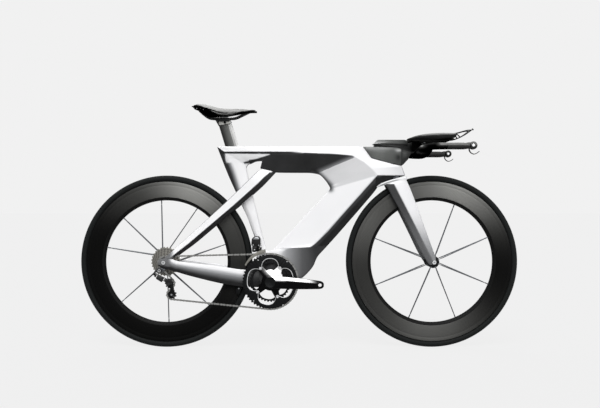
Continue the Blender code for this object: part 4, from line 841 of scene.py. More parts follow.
# the far spokes are laced a little aside, so that from the camera they stand in line with the near ones
def buildHub(word, centre, body):
    hub, spokes = hubs[word], wheels[word + "Spokes"]
    shapes = [turned(hub["profile"], centre, 48)]
    for flangeY, flangeR in hub["flanges"]:
        shift = centre[0] * (flangeY - hub["flanges"][0][0]) / view["distance"]
        for a, o in spokes:
            aside = o - shift * math.sin(math.radians(a))
            shapes.append(spokeShape(centre, a, aside, flangeY, 2.0 if flangeY > 0 else -2.0, flangeR))
        for a, o in spokes:  # small drillings that show round each spoke's head
            t = math.radians(a)
            spot = (centre[0] + (flangeR - 1) * math.cos(t), centre[1] + (flangeR - 1) * math.sin(t))
            shapes.append(drum(spot, [(2.2, flangeY - 2.6), (2.6, flangeY - 1.6), (2.6, flangeY + 1.6),
                                      (2.2, flangeY + 2.6)], 10, 1))
    for radius, low, high in hub["caps"]:
        shapes.append(turned([(radius - 3, low), (radius, low + 0.8), (radius, high - 0.8), (radius - 3, high)],
                             centre, 32, slot=2))
    piece(word + "Hub", shapes, [blackAlloy, darkSteel, blackAlloy], body, word + "_hub", "black_alloy")


def turned180(angle, origin):  # from -180 to 180 degrees, seen from the origin's angle
    return (angle - origin + 180) % 360 - 180


# painted reflection: the rim is lighter in broad sectors round the hub; each lobe is (share, angle, width)
def sheenTone(centre, lobes):
    def tone(normal, place):
        turn = np.degrees(np.arctan2(place[:, 2] - centre[1], place[:, 0] - centre[0]))
        return 0.006 + sum(share * np.exp(-(turned180(turn, at) / wide) ** 2) for share, at, wide in lobes)
    return tone


# tyre: a ring swollen a little at the tread; rim: its half profile mirrored, banded by radius
def buildWheel(word, centre, body):
    outer, r = wheels["outer"], wheels["tyreRadius"]
    a = np.radians(np.linspace(-122, 122, 25))
    tread = 0.25 * np.cos(a * 2)
    profile = [(outer - r + (r + t * 0.6) * math.cos(b) - 0.2, r * math.sin(b)) for b, t in zip(a, tread)]
    profile += [wheels["bead"], np.multiply(wheels["bead"], (1, -1))]
    tyre = meshFrom(word + "Tyre", [turned(profile, centre, wheels["steps"])], [tyreRubber], 50)
    paintRadius(tyre, centre)
    mount(tyre, body, word + "_tyre", finish="rubber")
    half = np.array(wheels["rim"], float)
    full = np.vstack([half, half[::-1] * [1, -1]])
    shape = turned(full, centre, wheels["steps"])
    middle = shape["verts"][shape["loops"].reshape(-1, 4)].mean(1)
    away = np.hypot(middle[:, 0] - centre[0], middle[:, 2] - centre[1])
    low, high = wheels["brakeBand"]
    shape["slots"] = ((away > low) & (away < high)) + 2 * (away < wheels["innerEdge"])
    rim = meshFrom(word + "Rim", [shape], [rimCarbon, brakeBand, rimBlack], 50)
    paintRadius(rim, centre)
    paintTone(rim, sheenTone(centre, wheels[word + "Sheen"]))
    mount(rim, body, word + "_rim", finish="carbon")


for build in (buildWheel, buildHub):
    for word in ("front", "rear"):
        build(word, hubCentre[word], word + "_wheel")
print("wheels built")


# drivetrain: pitch radius is half a chain pitch over the sine of half a tooth's angle
drive = {
    "pitch": 12.7, "outerTeeth": 53, "innerTeeth": 39, "outerY": -47.5, "innerY": -40.0,
    "cogs": (11, 12, 13, 14, 15, 17, 19, 21, 23, 25, 28), "cogStep": 3.7, "cogY": -58.0, "chainY": -58.4,
    "guide": (-498.0, 255.0), "tension": (-490.5, 212.5), "pulleyTeeth": 9, "arms": (55.0, 127.0, 219.0, 295.0),
    "boltRadius": 65.0, "rivets": ((50, 100), (120, 95), (229, 98), (298, 103)), "links": 112}


# half a pitch over the sine of half a tooth's angle
def pitchRadius(teeth):
    return drive["pitch"] / 2 / math.sin(math.pi / teeth)


# a sprocket: its rim rises from root to tip once a tooth; the bore may follow a lobed line
def sprocket(centre, teeth, y, half, bore, perTooth=6, tip=1.0, root=3.4, rimSlot=0):
    a = np.linspace(0, 2 * np.pi, teeth * perTooth, endpoint=False)
    phase = (a * teeth / (2 * np.pi)) % 1
    rise = np.clip(2.2 - np.abs(phase - 0.5) * 6.4, 0, 1)
    outer = pitchRadius(teeth) - root + (tip + root) * rise
    inner = bore(a) if callable(bore) else np.full(len(a), float(bore))
    shoulder = np.minimum(outer - 1.2, pitchRadius(teeth) - root - 0.5)
    cols = [(inner, half - 0.5), (inner + 1.5, half), (shoulder, half), (outer, half * 0.3), (outer, -half * 0.3),
            (shoulder, -half), (inner + 2.6, -half), (inner, 0.3 - half)]
    r = np.stack([c[0] for c in cols], 1)
    across = y + np.broadcast_to([c[1] for c in cols], r.shape)
    points = np.stack([centre[0] + r * np.cos(a)[:, None], across, centre[1] + r * np.sin(a)[:, None]], -1)
    shape = grid(points, loopRows=True)
    if rimSlot:  # the bevel round the window is machined bright
        shape["slots"] = np.tile(np.array([0, 0, 0, 0, 0, 0, rimSlot, rimSlot]), len(a))
    return shape


def fromArm(a):  # degrees from the nearest arm of the spider
    return np.min([np.abs(turned180(np.degrees(a), arm)) for arm in drive["arms"]], axis=0)


# bore of a chainring: wide between the arms, drawn in to the bolt tabs by a smooth step
def lobes(wide, tab):
    return lambda a: tab + (wide - tab) * (1 - (1 - np.clip((fromArm(a) - 3) / 30, 0, 1)) ** 2.2)


# a point about the crank axis by its angle and radius
def atArm(angle, radius):
    a = math.radians(angle)
    return bracket[0] + radius * math.cos(a), bracket[1] + radius * math.sin(a)


# crank arm: reach, half height, near and far depth; the upper facet leans up from the crease
crank = {"drop": 3.3, "length": 191.0,
         "stations": [(-24, 9, 60, 68), (-16, 19, 59.5, 71), (0, 23, 59.5, 73), (22, 24, 59.5, 73),
                      (60, 23, 60.5, 73), (125, 20.5, 62, 74), (172, 17, 63, 75), (191, 15.6, 63, 75),
                      (201, 12.5, 63, 75), (206, 6, 64, 74)]}


# six corners at each station of the arm, rounded along and across
def crankArm(sign, side):
    drop = math.radians(crank["drop"])
    way = np.array([sign * math.cos(drop), -sign * math.sin(drop)])
    across = np.array([-way[1], way[0]]) * sign
    rows = []
    for reach, half, near, far in crank["stations"]:
        ring = []
        for share, depth in ((1.0, near), (1.0, far - 7), (0.42, far), (-0.75, far), (-1.0, far - 4),
                             (-1.0, near)):
            flat = np.array(bracket) + way * reach + across * half * share
            ring.append((flat[0], side * depth, flat[1]))
        rows.append(ring)
    rows = denser(roundLoop(softRows(np.array(rows), 0.4, 5), 2.0, 4), 4.0)
    return grid(denser(rows.swapaxes(0, 1), 4.0, closed=False).swapaxes(0, 1), capped=True)


# dished star: its rim reaches each bolt tab and falls back between them; the front swells towards the hub
def spiderShape():
    a = np.linspace(0, 2 * np.pi, 240, endpoint=False)
    swells = ((91, 13, 34), (30, 18, 26), (-42, 14, 20))
    waist = 35.0 + sum(extra * np.exp(-(turned180(np.degrees(a), at) / wide) ** 2) for at, extra, wide in swells)
    rim = waist + (71 - waist) * (1 - ramp(fromArm(a), 4, 21)) ** 1.3
    share = np.concatenate([[0.06], np.linspace(0.3, 0.97, 20), [1.0, 1.0, 0.97, 0.06]])
    radius = rim[None, :] * share[:, None]
    front = -46.6 - 14 * (1 - ramp(radius, 18, 62))
    depth = np.where(np.arange(len(share))[:, None] < 21, front, -45.8)
    depth[-3] = -43
    depth[-2:] = -42.6
    points = np.stack([bracket[0] + radius * np.cos(a), depth, bracket[1] + radius * np.sin(a)], -1)
    return grid(points, capped=True)


# painted highlight where the spider and the top of the arm look up, black below the crease and towards the end
def crankTone(normal, place):
    x, z = place[:, 0] - bracket[0], place[:, 2] - bracket[1]
    drop = math.tan(math.radians(crank["drop"]))
    out = np.where(place[:, 1] < 0, x, -x)
    arm = ramp(normal[:, 2], 0.1, 0.25) * ramp(z + out * drop, 4, 7) * ramp(-out, -185, -120) * ramp(out, 16, 26)
    star = (0.16 * ramp(x + z, 2, 20) + 0.84 * ramp(x + z, 20, 30)) * ramp(z, 3, 7) * (place[:, 1] < 0) * (x < 60)
    return np.maximum(arm, star)


# forged crank in black anodising, with a painted highlight on its upper facets near the spider
def makeCrankFinish():
    made = newMaterial("crankForgedBlackPaintedHighlight", "26272a", {"Metallic": 0.8, "Specular IOR Level": 0.2})
    tree = made[1]
    grain = pattern(tree, "Noise", 1.111, Detail=2.0)
    tone = addNode(tree, "Attribute", output="Fac", attribute_name="tone")
    level = addNode(tree, "Math", [grain, 0.06, tone], operation="MULTIPLY_ADD")
    level = addNode(tree, "Math", [level, 0.03], operation="SUBTRACT")
    colour = addNode(tree, "Mix", {0: level, 6: linear("020203"), 7: linear("c4c4c4")}, 2, data_type="RGBA")
    return dress(made, colour, addNode(tree, "Math", [grain, 0.12, 0.24], operation="MULTIPLY_ADD"))


# spindle with the star, both arms drilled for the pedals, cap over the axis
def buildCranks():
    finish = makeCrankFinish()
    centre = bracket
    shapes = [drum(centre, [(12, -44), (12, 66)], 32), drum(centre, [(15, -37.4), (15, -44)], 32), spiderShape()]
    piece("crankSpider", shapes, [finish], "crankset", "", "black_alloy", tone=crankTone)
    eye = atArm(-crank["drop"], crank["length"])
    right = meshFrom("rightCrankArm", [crankArm(1, -1)], [finish])
    bore(right, eye, 6.6, -55, -80)
    paintTone(right, crankTone)
    mount(right, "crankset", "right_crank", finish="black_alloy")
    cap = [(19.5, -71), (20.5, -73.6), (19, -75), (17.5, -74.2), (8, -74.0), (4, -73)]
    piece("crankCap", [drum(centre, cap, 40)], [blackAlloy], "crankset", "", "black_alloy", 50)
    hub = drum(centre, [(17, 37.6), (17, 60), (15, 74), (11, 76)], 40)
    left = meshFrom("leftCrankArm", [crankArm(-1, 1), hub], [finish])
    bore(left, centre, 12.3, 20, 66.4, 32)
    eye = atArm(180 - crank["drop"], crank["length"])
    bore(left, eye, 6.6, 55, 80)
    paintTone(left, crankTone)
    mount(left, "crankset", "left_crank", finish="black_alloy")


# two rings, four bolts through both, rivets of the shift ramps
def buildChainrings():
    centre = bracket
    piece("outerRing", [sprocket(centre, drive["outerTeeth"], drive["outerY"], 1.2, lobes(88, 58), rimSlot=1)],
          [blackAlloy, brightAlloy], "crankset", "outer_chainring", "black_alloy", 60)
    piece("innerRing", [sprocket(centre, drive["innerTeeth"], drive["innerY"], 1.5, lobes(69, 58))], [blackAlloy],
          "crankset", "inner_chainring", "black_alloy", 60)
    shapes = []
    for angle in drive["arms"]:
        spot = atArm(angle, drive["boltRadius"])
        shapes.append(drum(spot, [(4.6, -47), (5.2, -49.2), (4.4, -50.2), (2.6, -50.2), (2.2, -49.2)], 20))
    for angle, radius in drive["rivets"]:
        shapes.append(drum(atArm(angle, radius), [(1.9, -47.6), (1.9, -49), (1.2, -49.5)], 12))
    piece("ringBolts", shapes, [brightAlloy], "crankset", "", "alloy", 30)


# eleven cogs on one sleeve, every second one shaded, spacers between them
def buildCassette():
    centre = hubCentre["rear"]
    shapes = []
    for k, teeth in enumerate(drive["cogs"]):
        y = drive["cogY"] + drive["cogStep"] * k
        bore = 15.9 if k == 0 else max(pitchRadius(drive["cogs"][k - 1]) - 7, 15.9)
        cog = sprocket(centre, teeth, y, 0.8, bore, 5)
        shapes.append({**cog, "slots": cog["slots"] + 2} if k % 2 else cog)
        if k:
            shapes.append(turned([(15.9, y - 3.2), (19 + 0.9 * k, y - 3.2), (19 + 0.9 * k, y - 0.5),
                                  (15.9, y - 0.5)], centre, 40, slot=1))
    shapes.append(turned([(15.9, -59.2), (18.4, -59.2), (18.4, -56), (15.9, -56)], centre, 40, slot=1))
    piece("cassetteCogs", shapes, [cogSteel, blackAlloy, cogShade], "cassette", "cassette", "steel", 40)


# the belt line over the wheels: an arc on each and a straight run to the next, as points with headings
def beltLine():
    circles = [(bracket, pitchRadius(drive["outerTeeth"]), 1, drive["outerY"]),
               (hubCentre["rear"], pitchRadius(drive["cogs"][0]), 1, drive["chainY"]),
               (drive["guide"], pitchRadius(drive["pulleyTeeth"]), -1, drive["chainY"]),
               (drive["tension"], pitchRadius(drive["pulleyTeeth"]), 1, drive["chainY"])]
    headings = []
    for k, (centre, radius, turn, _) in enumerate(circles):
        other, otherRadius, otherTurn, _ = circles[(k + 1) % 4]
        run = np.subtract(other, centre)
        headings.append(math.atan2(run[1], run[0])
                        + math.asin((turn * radius - otherTurn * otherRadius) / math.hypot(*run)))
    points = []
    for k, (centre, radius, turn, y) in enumerate(circles):
        start, end = headings[k - 1], headings[k]
        sweep = (end - start) % (2 * math.pi) if turn > 0 else -((start - end) % (2 * math.pi))
        h = start + sweep * np.linspace(0, 1, 60)
        x, z = centre[0] + turn * radius * np.sin(h), centre[1] - turn * radius * np.cos(h)
        arc = np.stack([x, np.full(60, y), z], -1)
        if radius > 50:  # it leaves the large ring in line with its teeth
            first, last = [np.array([math.cos(h), 0, math.sin(h)]) for h in (start, end)]
            arc = np.vstack([arc[0] - first * 34, arc, arc[-1] + last * 34])
        points.append(arc)
    return np.concatenate(points)


# one plate, a waisted outline between two faces, copied to every link by its two pin points
def buildChain():
    line = beltLine()
    gaps = np.linalg.norm(np.roll(line, -1, 0) - line, axis=1)
    along = np.concatenate([[0], np.cumsum(gaps)])
    spots = np.linspace(0, along[-1], drive["links"], endpoint=False)
    closed = np.vstack([line, line[:1]])
    pins = np.stack([np.interp(spots, along, closed[:, i]) for i in range(3)], -1)
    ends = np.roll(pins, -1, 0)
    ahead = ends - pins
    length = np.linalg.norm(ahead, axis=1, keepdims=True)
    ahead /= length
    up = np.cross(ahead, [0, 1, 0])
    a = np.radians([90, 126, 162, 198, 234, 270])
    half = np.stack([3.5 * np.cos(a), 3.5 * np.sin(a)], -1)
    outline = np.vstack([half, [[0, -2.4]], -half, [[0, 2.4]]])
    outline[:6, 0] -= 0.5
    outline[7:13, 0] += 0.5
    reach = np.array([0] * 6 + [0.5] + [1] * 6 + [0.5])
    shapes = []
    for side in (-1, 1):
        ringRows = []
        inner = np.where(np.arange(len(pins)) % 2, 1.6, 2.3)[:, None, None]
        for depth in (0.0, 0.75):
            base = pins[:, None] + ahead[:, None] * (length[:, None] * reach[None, :, None]
                                                     + outline[None, :, :1])
            base = base + up[:, None] * outline[None, :, 1:]
            ringRows.append(base + np.array([0, 1, 0]) * side * (inner + depth))
        for i in range(len(pins)):
            shapes.append(grid(np.stack([ringRows[0][i], ringRows[1][i]]), capped=True, slot=i % 2))
    b = np.linspace(0, 2 * np.pi, 8, endpoint=False)
    for i in range(len(pins)):
        rows = []
        for radius, y in ((1.7, -3.2), (1.7, -1.4), (3.6, -1.3), (3.6, 1.3), (1.7, 1.4), (1.7, 3.2)):
            rows.append(pins[i] + radius * (np.cos(b)[:, None] * ahead[i] + np.sin(b)[:, None] * up[i])
                        + [0, y, 0])
        shapes.append(grid(rows, capped=True))
    piece("chainLinks", shapes, [chainSteel, chainDark], "frame", "chain", "steel", 35)


cogSteel = makeMetal("cogSteelNickelled", "82807a", 0.36, 0.9)
cogShade = makeMetal("cogSteelNickelledShaded", "5e5c58", 0.36, 0.9)
chainDark = makeMetal("chainInnerPlatesOiled", "6a6a68", 0.36, 0.9)
chainSteel = makeMetal("chainPlatesNickelled", "8a8a88", 0.32, 0.9)
buildCranks()
buildChainrings()
buildCassette()
buildChain()
print("drivetrain built")


# coated parts whose colour runs with the tone attribute, painted light and shade, over three colours; fine grain
# from the blasting
def makeToned(name, colours, roughness, grain, gloss, depth=0.1):
    made = newMaterial(name, colours[1], {"Specular IOR Level": gloss})
    tree = made[1]
    fine, cloud = pattern(tree, "Noise", grain, Detail=2.0), pattern(tree, "Noise", 45.45, Detail=3.0)
    colour = threeTones(tree, colours, 0.5, (fine, cloud), (0.09, 0.08))
    rough = addNode(tree, "Math", [fine, depth, roughness - depth / 2], operation="MULTIPLY_ADD")
    return dress(made, colour, rough, fine, 0.12)


# moulded pad skin: pebbles about 2 mm wide (real ones are near 1), a soft sheen, and a painted sheen from the
# tone, paler where it faces up
def makePadSkin(name, colours, pebble, roughness):
    made = newMaterial(name, colours[0], {"Specular IOR Level": 0.2})
    tree = made[1]
    cell = pattern(tree, "Voronoi", pebble, "Distance")
    tone = addNode(tree, "Attribute", output="Fac", attribute_name="tone")
    level = addNode(tree, "Math", [cell, -0.02, tone], operation="MULTIPLY_ADD")
    level = addNode(tree, "Math", [pattern(tree, "Noise", 33.33, Detail=4.0), 0.07, level],
                    operation="MULTIPLY_ADD")
    level = addNode(tree, "Math", [level, 0.027], operation="SUBTRACT")
    colour = addNode(tree, "Mix", {0: level, 6: linear(colours[0]), 7: linear(colours[1])}, 2, data_type="RGBA")
    rough = addNode(tree, "Math", [cell, 0.12, roughness], operation="MULTIPLY_ADD")
    return dress(made, colour, rough, cell, 0.07, 0.0003, invert=True)


# the pale colour of each is painted highlight and the dark one painted shade, as their tones put them
postCoat = makeToned("seatpostCarbonSatinCoat", ("080808", "636462", "fafaf8"), 0.4, 0.8, 0.25)
stemCoat = makeToned("stemAlloyBlastedGreyCoat", ("050606", "646664", "d8d9d8"), 0.42, 0.8, 0.25)
barCoat = makeToned("barCarbonSatinBlackCoat", ("030303", "4a4a49", "d8d8d6"), 0.5, 0.9, 0.0)
gripRubber = makeToned("hoodRubberMoulded", ("060606", "3b3b3a", "a8a8a6"), 0.6, 1.2, 0.2, 0.16)
blackPlastic = makeToned("derailleurNylonMoulded", ("050505", "3a3a3a", "9a9a9a"), 0.42, 1.0, 0.2)
saddleShellCoat = makeToned("saddleShellCarbonCoat", ("030303", "3a3a3a", "a8a8a6"), 0.45, 0.8, 0.0)
railSteel = makeToned("railSteelBlackPaintedHighlight", ("040404", "4c4c4c", "e6e6e4"), 0.4, 0.6, 0.1)
clampAlloy = makeMetal("clampAlloyTumbled", "c4c4c0", 0.5, 0.7)
saddleSkin = makePadSkin("saddleMicrofibreEmbossed", ("0a0a0a", "b0b0ae"), 2.0, 0.5)
padSkin = makePadSkin("forearmPadFoamSkin", ("0b0b0b", "8c8c8b"), 2.4, 0.62)


# rings of (radius, along) about an axis through base; the last ones may turn back down for a socket
def spun(base, way, profile, steps=16, slot=0):
    base, way = np.asarray(base, float), np.asarray(way, float) / np.linalg.norm(way)
    side = np.cross(way, (0, 1, 0) if abs(way[1]) < 0.7 else (0, 0, 1))
    side /= np.linalg.norm(side)
    up = np.cross(way, side)
    a = np.linspace(0, 2 * np.pi, steps, endpoint=False)[:, None]
    around = side * np.cos(a) + up * np.sin(a)
    rows = [base + way * along + around * radius for radius, along in profile]
    return grid(rows, capped=True, slot=slot)


def boltHead(base, way, radius, height, slot=0):  # domed head with a hollow socket
    profile = [(radius, -0.6), (radius, height * 0.7), (radius * 0.8, height), (radius * 0.5, height),
               (radius * 0.45, height * 0.4)]
    return spun(base, way, profile, 14, slot)


def spot(place, x, z, wide, high):  # soft round patch of 1 about that place, fading to 0
    return np.exp(-((place[:, 0] - x) / wide) ** 2 - ((place[:, 2] - z) / high) ** 2)


# saddle: x, half width, height of the middle line, drop of the edges, thickness of the edge
saddle = {
    "sections": [(-417, 40, 947, 4, 4), (-408, 58, 949.5, 7, 8), (-385, 68, 951, 12, 12), (-360, 69, 947, 14, 13),
                 (-330, 60, 938, 13, 18), (-300, 42, 933, 9, 28), (-265, 27, 932, 7, 24), (-230, 21, 933, 6, 16),
                 (-198, 20, 935, 6, 12), (-178, 19, 934.5, 6, 10), (-167, 12, 930, 4, 6)],
    "tail": [(-417, 943), (-401, 930), (-382, 914), (-372, 912), (-367, 904), (-356, 896.5), (-340, 897),
             (-325, 898.5), (-312, 902), (-302, 908), (-292, 914), (-200, 930)],
    # the line as x, z below which the cover's painted sheen ends
    "sheenLine": [(-420, 952), (-398, 945), (-390, 941), (-375, 937), (-353, 926), (-333, 915), (-318, 908),
            (-303, 905), (-270, 909), (-250, 914), (-231, 919), (-213, 922.5), (-194, 926), (-172, 930),
            (-160, 934)],
    "rails": [(-388, 38, 921), (-380, 34, 914), (-366, 27, 903), (-349, 22, 894), (-258, 22, 894),
              (-238, 19, 901), (-220, 13, 909), (-202, 6, 916.5), (-196, 0, 918)],
    "shrink": 1.2, "cushion": {"cell": 5.0, "pressure": 4.0, "swell": 2.5}}


# half rings of the cover: edges fall as a power of their share of the width, a channel runs down the middle
def saddleRings(inset=0.0):
    s = softRows(saddle["sections"], 0.45, 5)
    a = np.linspace(0, np.pi, 29)
    x, half, top, drop, depth = [s[:, i:i + 1] for i in range(5)]
    across = (half - inset) * np.cos(a)
    share = np.abs(np.cos(a))
    channel = 3.0 * np.clip(1 - np.abs(across) / 10, 0, 1) * ramp(x, -402, -392) * ramp(-x, 183, 195)
    upper = np.stack([x + 0 * across, across, top - drop * share ** 2.2 - channel - inset], -1)
    low = top - drop * share ** 1.6 - depth * 0.55 - 2 * (1 - share)
    lower = np.stack([x + 0 * across, across * 0.97, low + inset * 0.5], -1)
    return upper, lower


# the skin is filled with cells, blown up as cloth without gravity, its travel capped, then divided once
def puff(obj, cell, pressure, swell):
    fuse(obj, cell, 2)
    start = atVertices(obj.data, "co")
    mod = obj.modifiers.new("cloth", "CLOTH")
    mod.settings.use_pressure = True
    mod.settings.uniform_pressure_force = pressure
    mod.settings.effector_weights.gravity = 0
    for step in range(1, 21):
        scene.frame_set(step)
    travel = atVertices(obj.evaluated_get(bpy.context.evaluated_depsgraph_get()).data, "co") - start
    obj.modifiers.clear()
    scene.frame_set(1)
    size = np.linalg.norm(travel, axis=1, keepdims=True)
    travel *= np.minimum(1, swell * mm / np.maximum(size, 1e-9))
    obj.data.vertices.foreach_set("co", (start + travel).ravel())
    obj.data.update()
    mod = obj.modifiers.new("divide", "SUBSURF")
    mod.levels = mod.render_levels = 1
    settle(obj, 60)
    return obj


# painted sheen where the cover looks up above its line, with a painted shade line along each side of the channel
def saddleTone(normal, place):
    edge = 0.3 * np.exp(-((np.abs(place[:, 1]) - 12) / 4) ** 2) * ramp(place[:, 0], -400, -380)
    sheenLine = np.interp(place[:, 0], *np.transpose(saddle["sheenLine"]))
    return ramp(place[:, 2] - sheenLine, -1.2, 1.6) * ramp(normal[:, 2], -0.9, -0.6) * (0.95 - edge)


def railTone(normal, place):  # painted highlight where it faces up between its bends, black elsewhere
    x = place[:, 0]
    return 0.9 * ramp(normal[:, 2], 0.0, 0.7) * ramp(x, -345, -325) * ramp(-x, 222, 245)


def shellTone(normal, place):  # painted sheen above the line where it runs on from the cover, black below
    return 0.85 * ramp(place[:, 2] - np.interp(place[:, 0], *np.transpose(saddle["sheenLine"])), -0.8, 1.2)


# cover over a shell whose underside is cut by the tail's line, rails bent to a loop
def buildSaddle():
    upper, lower = saddleRings(saddle["shrink"])
    skin = grid(np.concatenate([upper, lower[:, ::-1]], 1), capped=True)
    cover = meshFrom("saddleCover", [skin], [saddleSkin], 60)
    puff(cover, **saddle["cushion"])
    paintTone(cover, saddleTone)
    mount(cover, "saddle", "saddle_cover", finish="soft")
    upper, lower = saddleRings()
    roof = lower * [1, 0.985, 1] - [0, 0, 0.9]
    tail = np.interp(lower[..., 0], *np.transpose(saddle["tail"])) + np.abs(lower[..., 1]) ** 2 * 0.008
    under = np.stack([lower[..., 0], lower[..., 1] * 0.95, np.minimum(lower[..., 2] - 4.2, tail)], -1)
    shapes = [grid(np.concatenate([roof, under[:, ::-1]], 1), capped=True)]
    for x, z in ((-396, 930), (-383, 931), (-371, 926)):  # rivets of the shell
        shapes.append(boltHead((x, -44, z), (0, -1, 0.1), 1.9, 8, 1))
        shapes.append(boltHead((x, 44, z), (0, 1, 0.1), 1.9, 8, 1))
    piece("saddleBaseShell", shapes, [saddleShellCoat, brushedSteel], "saddle", "saddle_base", "carbon", 50,
          tone=shellTone)
    half = softRows(saddle["rails"], 0.45, 6)
    path = np.vstack([half * [1, -1, 1], half[::-1][1:]])
    piece("saddleRailTube", [carried(path, oval(6.8, 6.8, 14))], [railSteel], "saddle", "saddle_rails", "steel",
          60, tone=railTone)


# painted light and shade: grey that clears towards the front, a painted highlight on the nose set off by a
# painted shade line
def postTone(normal, place):
    lean = math.radians(seatpostSize["lean"])
    across = ((place[:, 0] - seatpostSize["top"][0]) * math.cos(lean)
              + (place[:, 2] - seatpostSize["top"][1]) * math.sin(lean))
    edge = np.interp(place[:, 2], [790, 862], [18.5, 12.5])
    tone = 0.02 + 0.5 * ramp(across, -25, 8)
    front = ramp(across, edge - 0.6, edge + 0.6) * (1 - 0.35 * np.exp(-((across - edge - 3.5) / 0.8) ** 2))
    return tone * (1 - front) + 0.92 * front


# teardrop post with a cradle cut in its head, a horn behind, the clamp's yoke and plates
def buildSeatpost():
    post = meshFrom("seatpostTube", [postShape(0, seatpostSize["length"])], [postCoat], 40)
    x, z = seatpostSize["top"][0], seatpostSize["top"][1] + 4
    cut = [(x - 40, z - 13.7), (x + 40, z - 1.7), (x + 40, z + 30), (x - 40, z + 30)]
    carve(post, meshFrom("cradle", [slab(cut, -20, 20)], []), 40)
    side = [(x - 40, z + 14), (x - 30, z + 13), (x - 24, z), (x - 17, z - 11), (x - 24, z - 14)]
    horn = meshFrom("seatpostHorn", [slab(side, -8, 8, 1.5, 3)], [postCoat], 40)
    for part in (post, horn):
        paintTone(part, postTone)
    mount(post, "seatpost", "seatpost", finish="grey_carbon")
    mount(horn, "seatpost", finish="grey_carbon")
    yoke = [(x - 24, z + 4.6), (x - 20, z + 10), (x + 18, z + 10), (x + 22, z + 4.6), (x + 22, z - 2.2),
            (x + 12, z - 4.7), (x - 12, z - 8.3), (x - 23, z - 8.8)]
    shapes = [slab(yoke, -13.5, 13.5, 1.2, 1.5)]
    for side in (-1, 1):
        plate = [(x - 32, z + 4.5), (x - 33, z + 12.3), (x + 20, z + 12.3), (x + 19, z + 4.5)]
        shapes.append(slab(plate, side * 12, side * 27, 1, 1.5, slot=1))
        plate = [(x - 19, z + 19.8), (x - 20, z + 22.9), (x + 14, z + 22.9), (x + 13, z + 19.8)]
        shapes.append(slab(plate, side * 14, side * 27, 1, 1.5, slot=1))
        shapes.append(boltHead((x + side * 21.5, 0, z + 5), (side * 0.15, 0, -1), 4.2, 6.5, 2))
    shapes.append(spun((x, -14.5, z), (0, 1, 0), [(4, 0), (5, 0.8), (5, 28.2), (4, 29)], 24, 1))
    piece("saddleClampYoke", shapes, [clampAlloy, blackAlloy, brushedSteel], "saddle_clamp", "saddle_clamp",
          "alloy", 40)


buildSeatpost()
buildSaddle()
print("seat built")


# cockpit: stem corners as (top), (bottom), wide, narrow; bar and hoods as places with (wide, tall) sections
cockpit = {
    "steerPoint": (359.5, 0.0, 726.0), "lean": 16.0,
    "stem": [((250, 784.6), (283, 740.3), 6, 6), ((257, 784.6), (290, 738.5), 14, 13),
             ((290, 784.5), (318, 731.2), 18, 15), ((380, 782), (384, 714), 18.5, 13),
             ((392, 778), (393, 711.6), 18, 12), ((412, 771.5), (402, 709.4), 17, 7),
             ((437.5, 766), (425.5, 734.5), 16, 7)],
    "cover": [(285, 793), (303, 810), (416, 810), (423, 793)],
    "foot": [(292, 785), (292, 794), (420, 796), (438, 801), (450, 788), (446, 770), (432, 764), (412, 770),
             (392, 776), (380, 780)],
    "bar": [(534.5, 220, 770, 24, 25), (505, 219, 770, 25, 25.5), (480, 213, 769.5, 32, 25.5),
            (464, 195, 767, 46, 25), (465, 150, 760, 60, 25), (470, 60, 754, 62, 27), (470.5, 18, 752, 62, 28)],
    "hood": [(535.1, 220, 770, 24, 25), (560, 220.5, 770, 23, 25), (590, 220.5, 770, 22, 25),
             (606, 220.2, 770, 20, 22), (615, 220, 770.5, 18, 15)],
    "leverPivot": (628.0, 772.0), "leverY": 220.0,
    "hook": [(616.5, 764.5), (613.5, 757), (617, 748.5), (624, 742.5), (632, 740.3), (641, 743.6),
             (650.5, 750.6)],
    "riser": [(438, 767.6), (505, 766.6), (545, 789), (569, 799.5), (590, 808), (600, 812), (601, 822),
              (600, 834.5), (585, 832.5), (560, 826), (500, 822), (438, 812)],
    "strands": [[(590, 811.5), (605, 812.5), (622, 817.5), (645, 830), (658, 839.5), (669, 847)],
                [(590, 832), (606, 835.3), (617, 837.6), (634, 842.5), (650, 846.8), (660, 848), (669.5, 848)],
                [(600, 833), (609, 832.8), (617, 829), (623, 822), (625, 817.5)]],
    "pad": [(409, 803.5, 807.5, 10), (420, 802.5, 813, 26), (450, 802, 824, 36), (500, 802, 831, 38),
            (550, 804, 833, 35), (580, 808, 832.5, 27), (600, 815, 831, 12)],
    "cushion": {"cell": 5.0, "pressure": 4.0, "swell": 2.0}}


steerWay = (-math.sin(math.radians(cockpit["lean"])), 0, math.cos(math.radians(cockpit["lean"])))


# painted light and shade: grey with a painted highlight over the clamp and painted shade under it, a painted
# shade line at the crease, dark in front with a painted highlight
def stemTone(normal, place):
    x, z = place[:, 0], place[:, 2]
    tone = 0.52 - 0.16 * ramp(x, 320, 388) + 0.45 * spot(place, 388, 769, 14, 6) + 0.12 * ramp(z, 760, 778)
    tone -= 0.3 * spot(place, 386, 742, 12, 14)
    front = 0.14 + 0.3 * spot(place, 412, 755, 10, 9)
    return np.where(x > 403, front, tone) * (1 - 0.85 * np.exp(-((x - 400) / 3.2) ** 2))


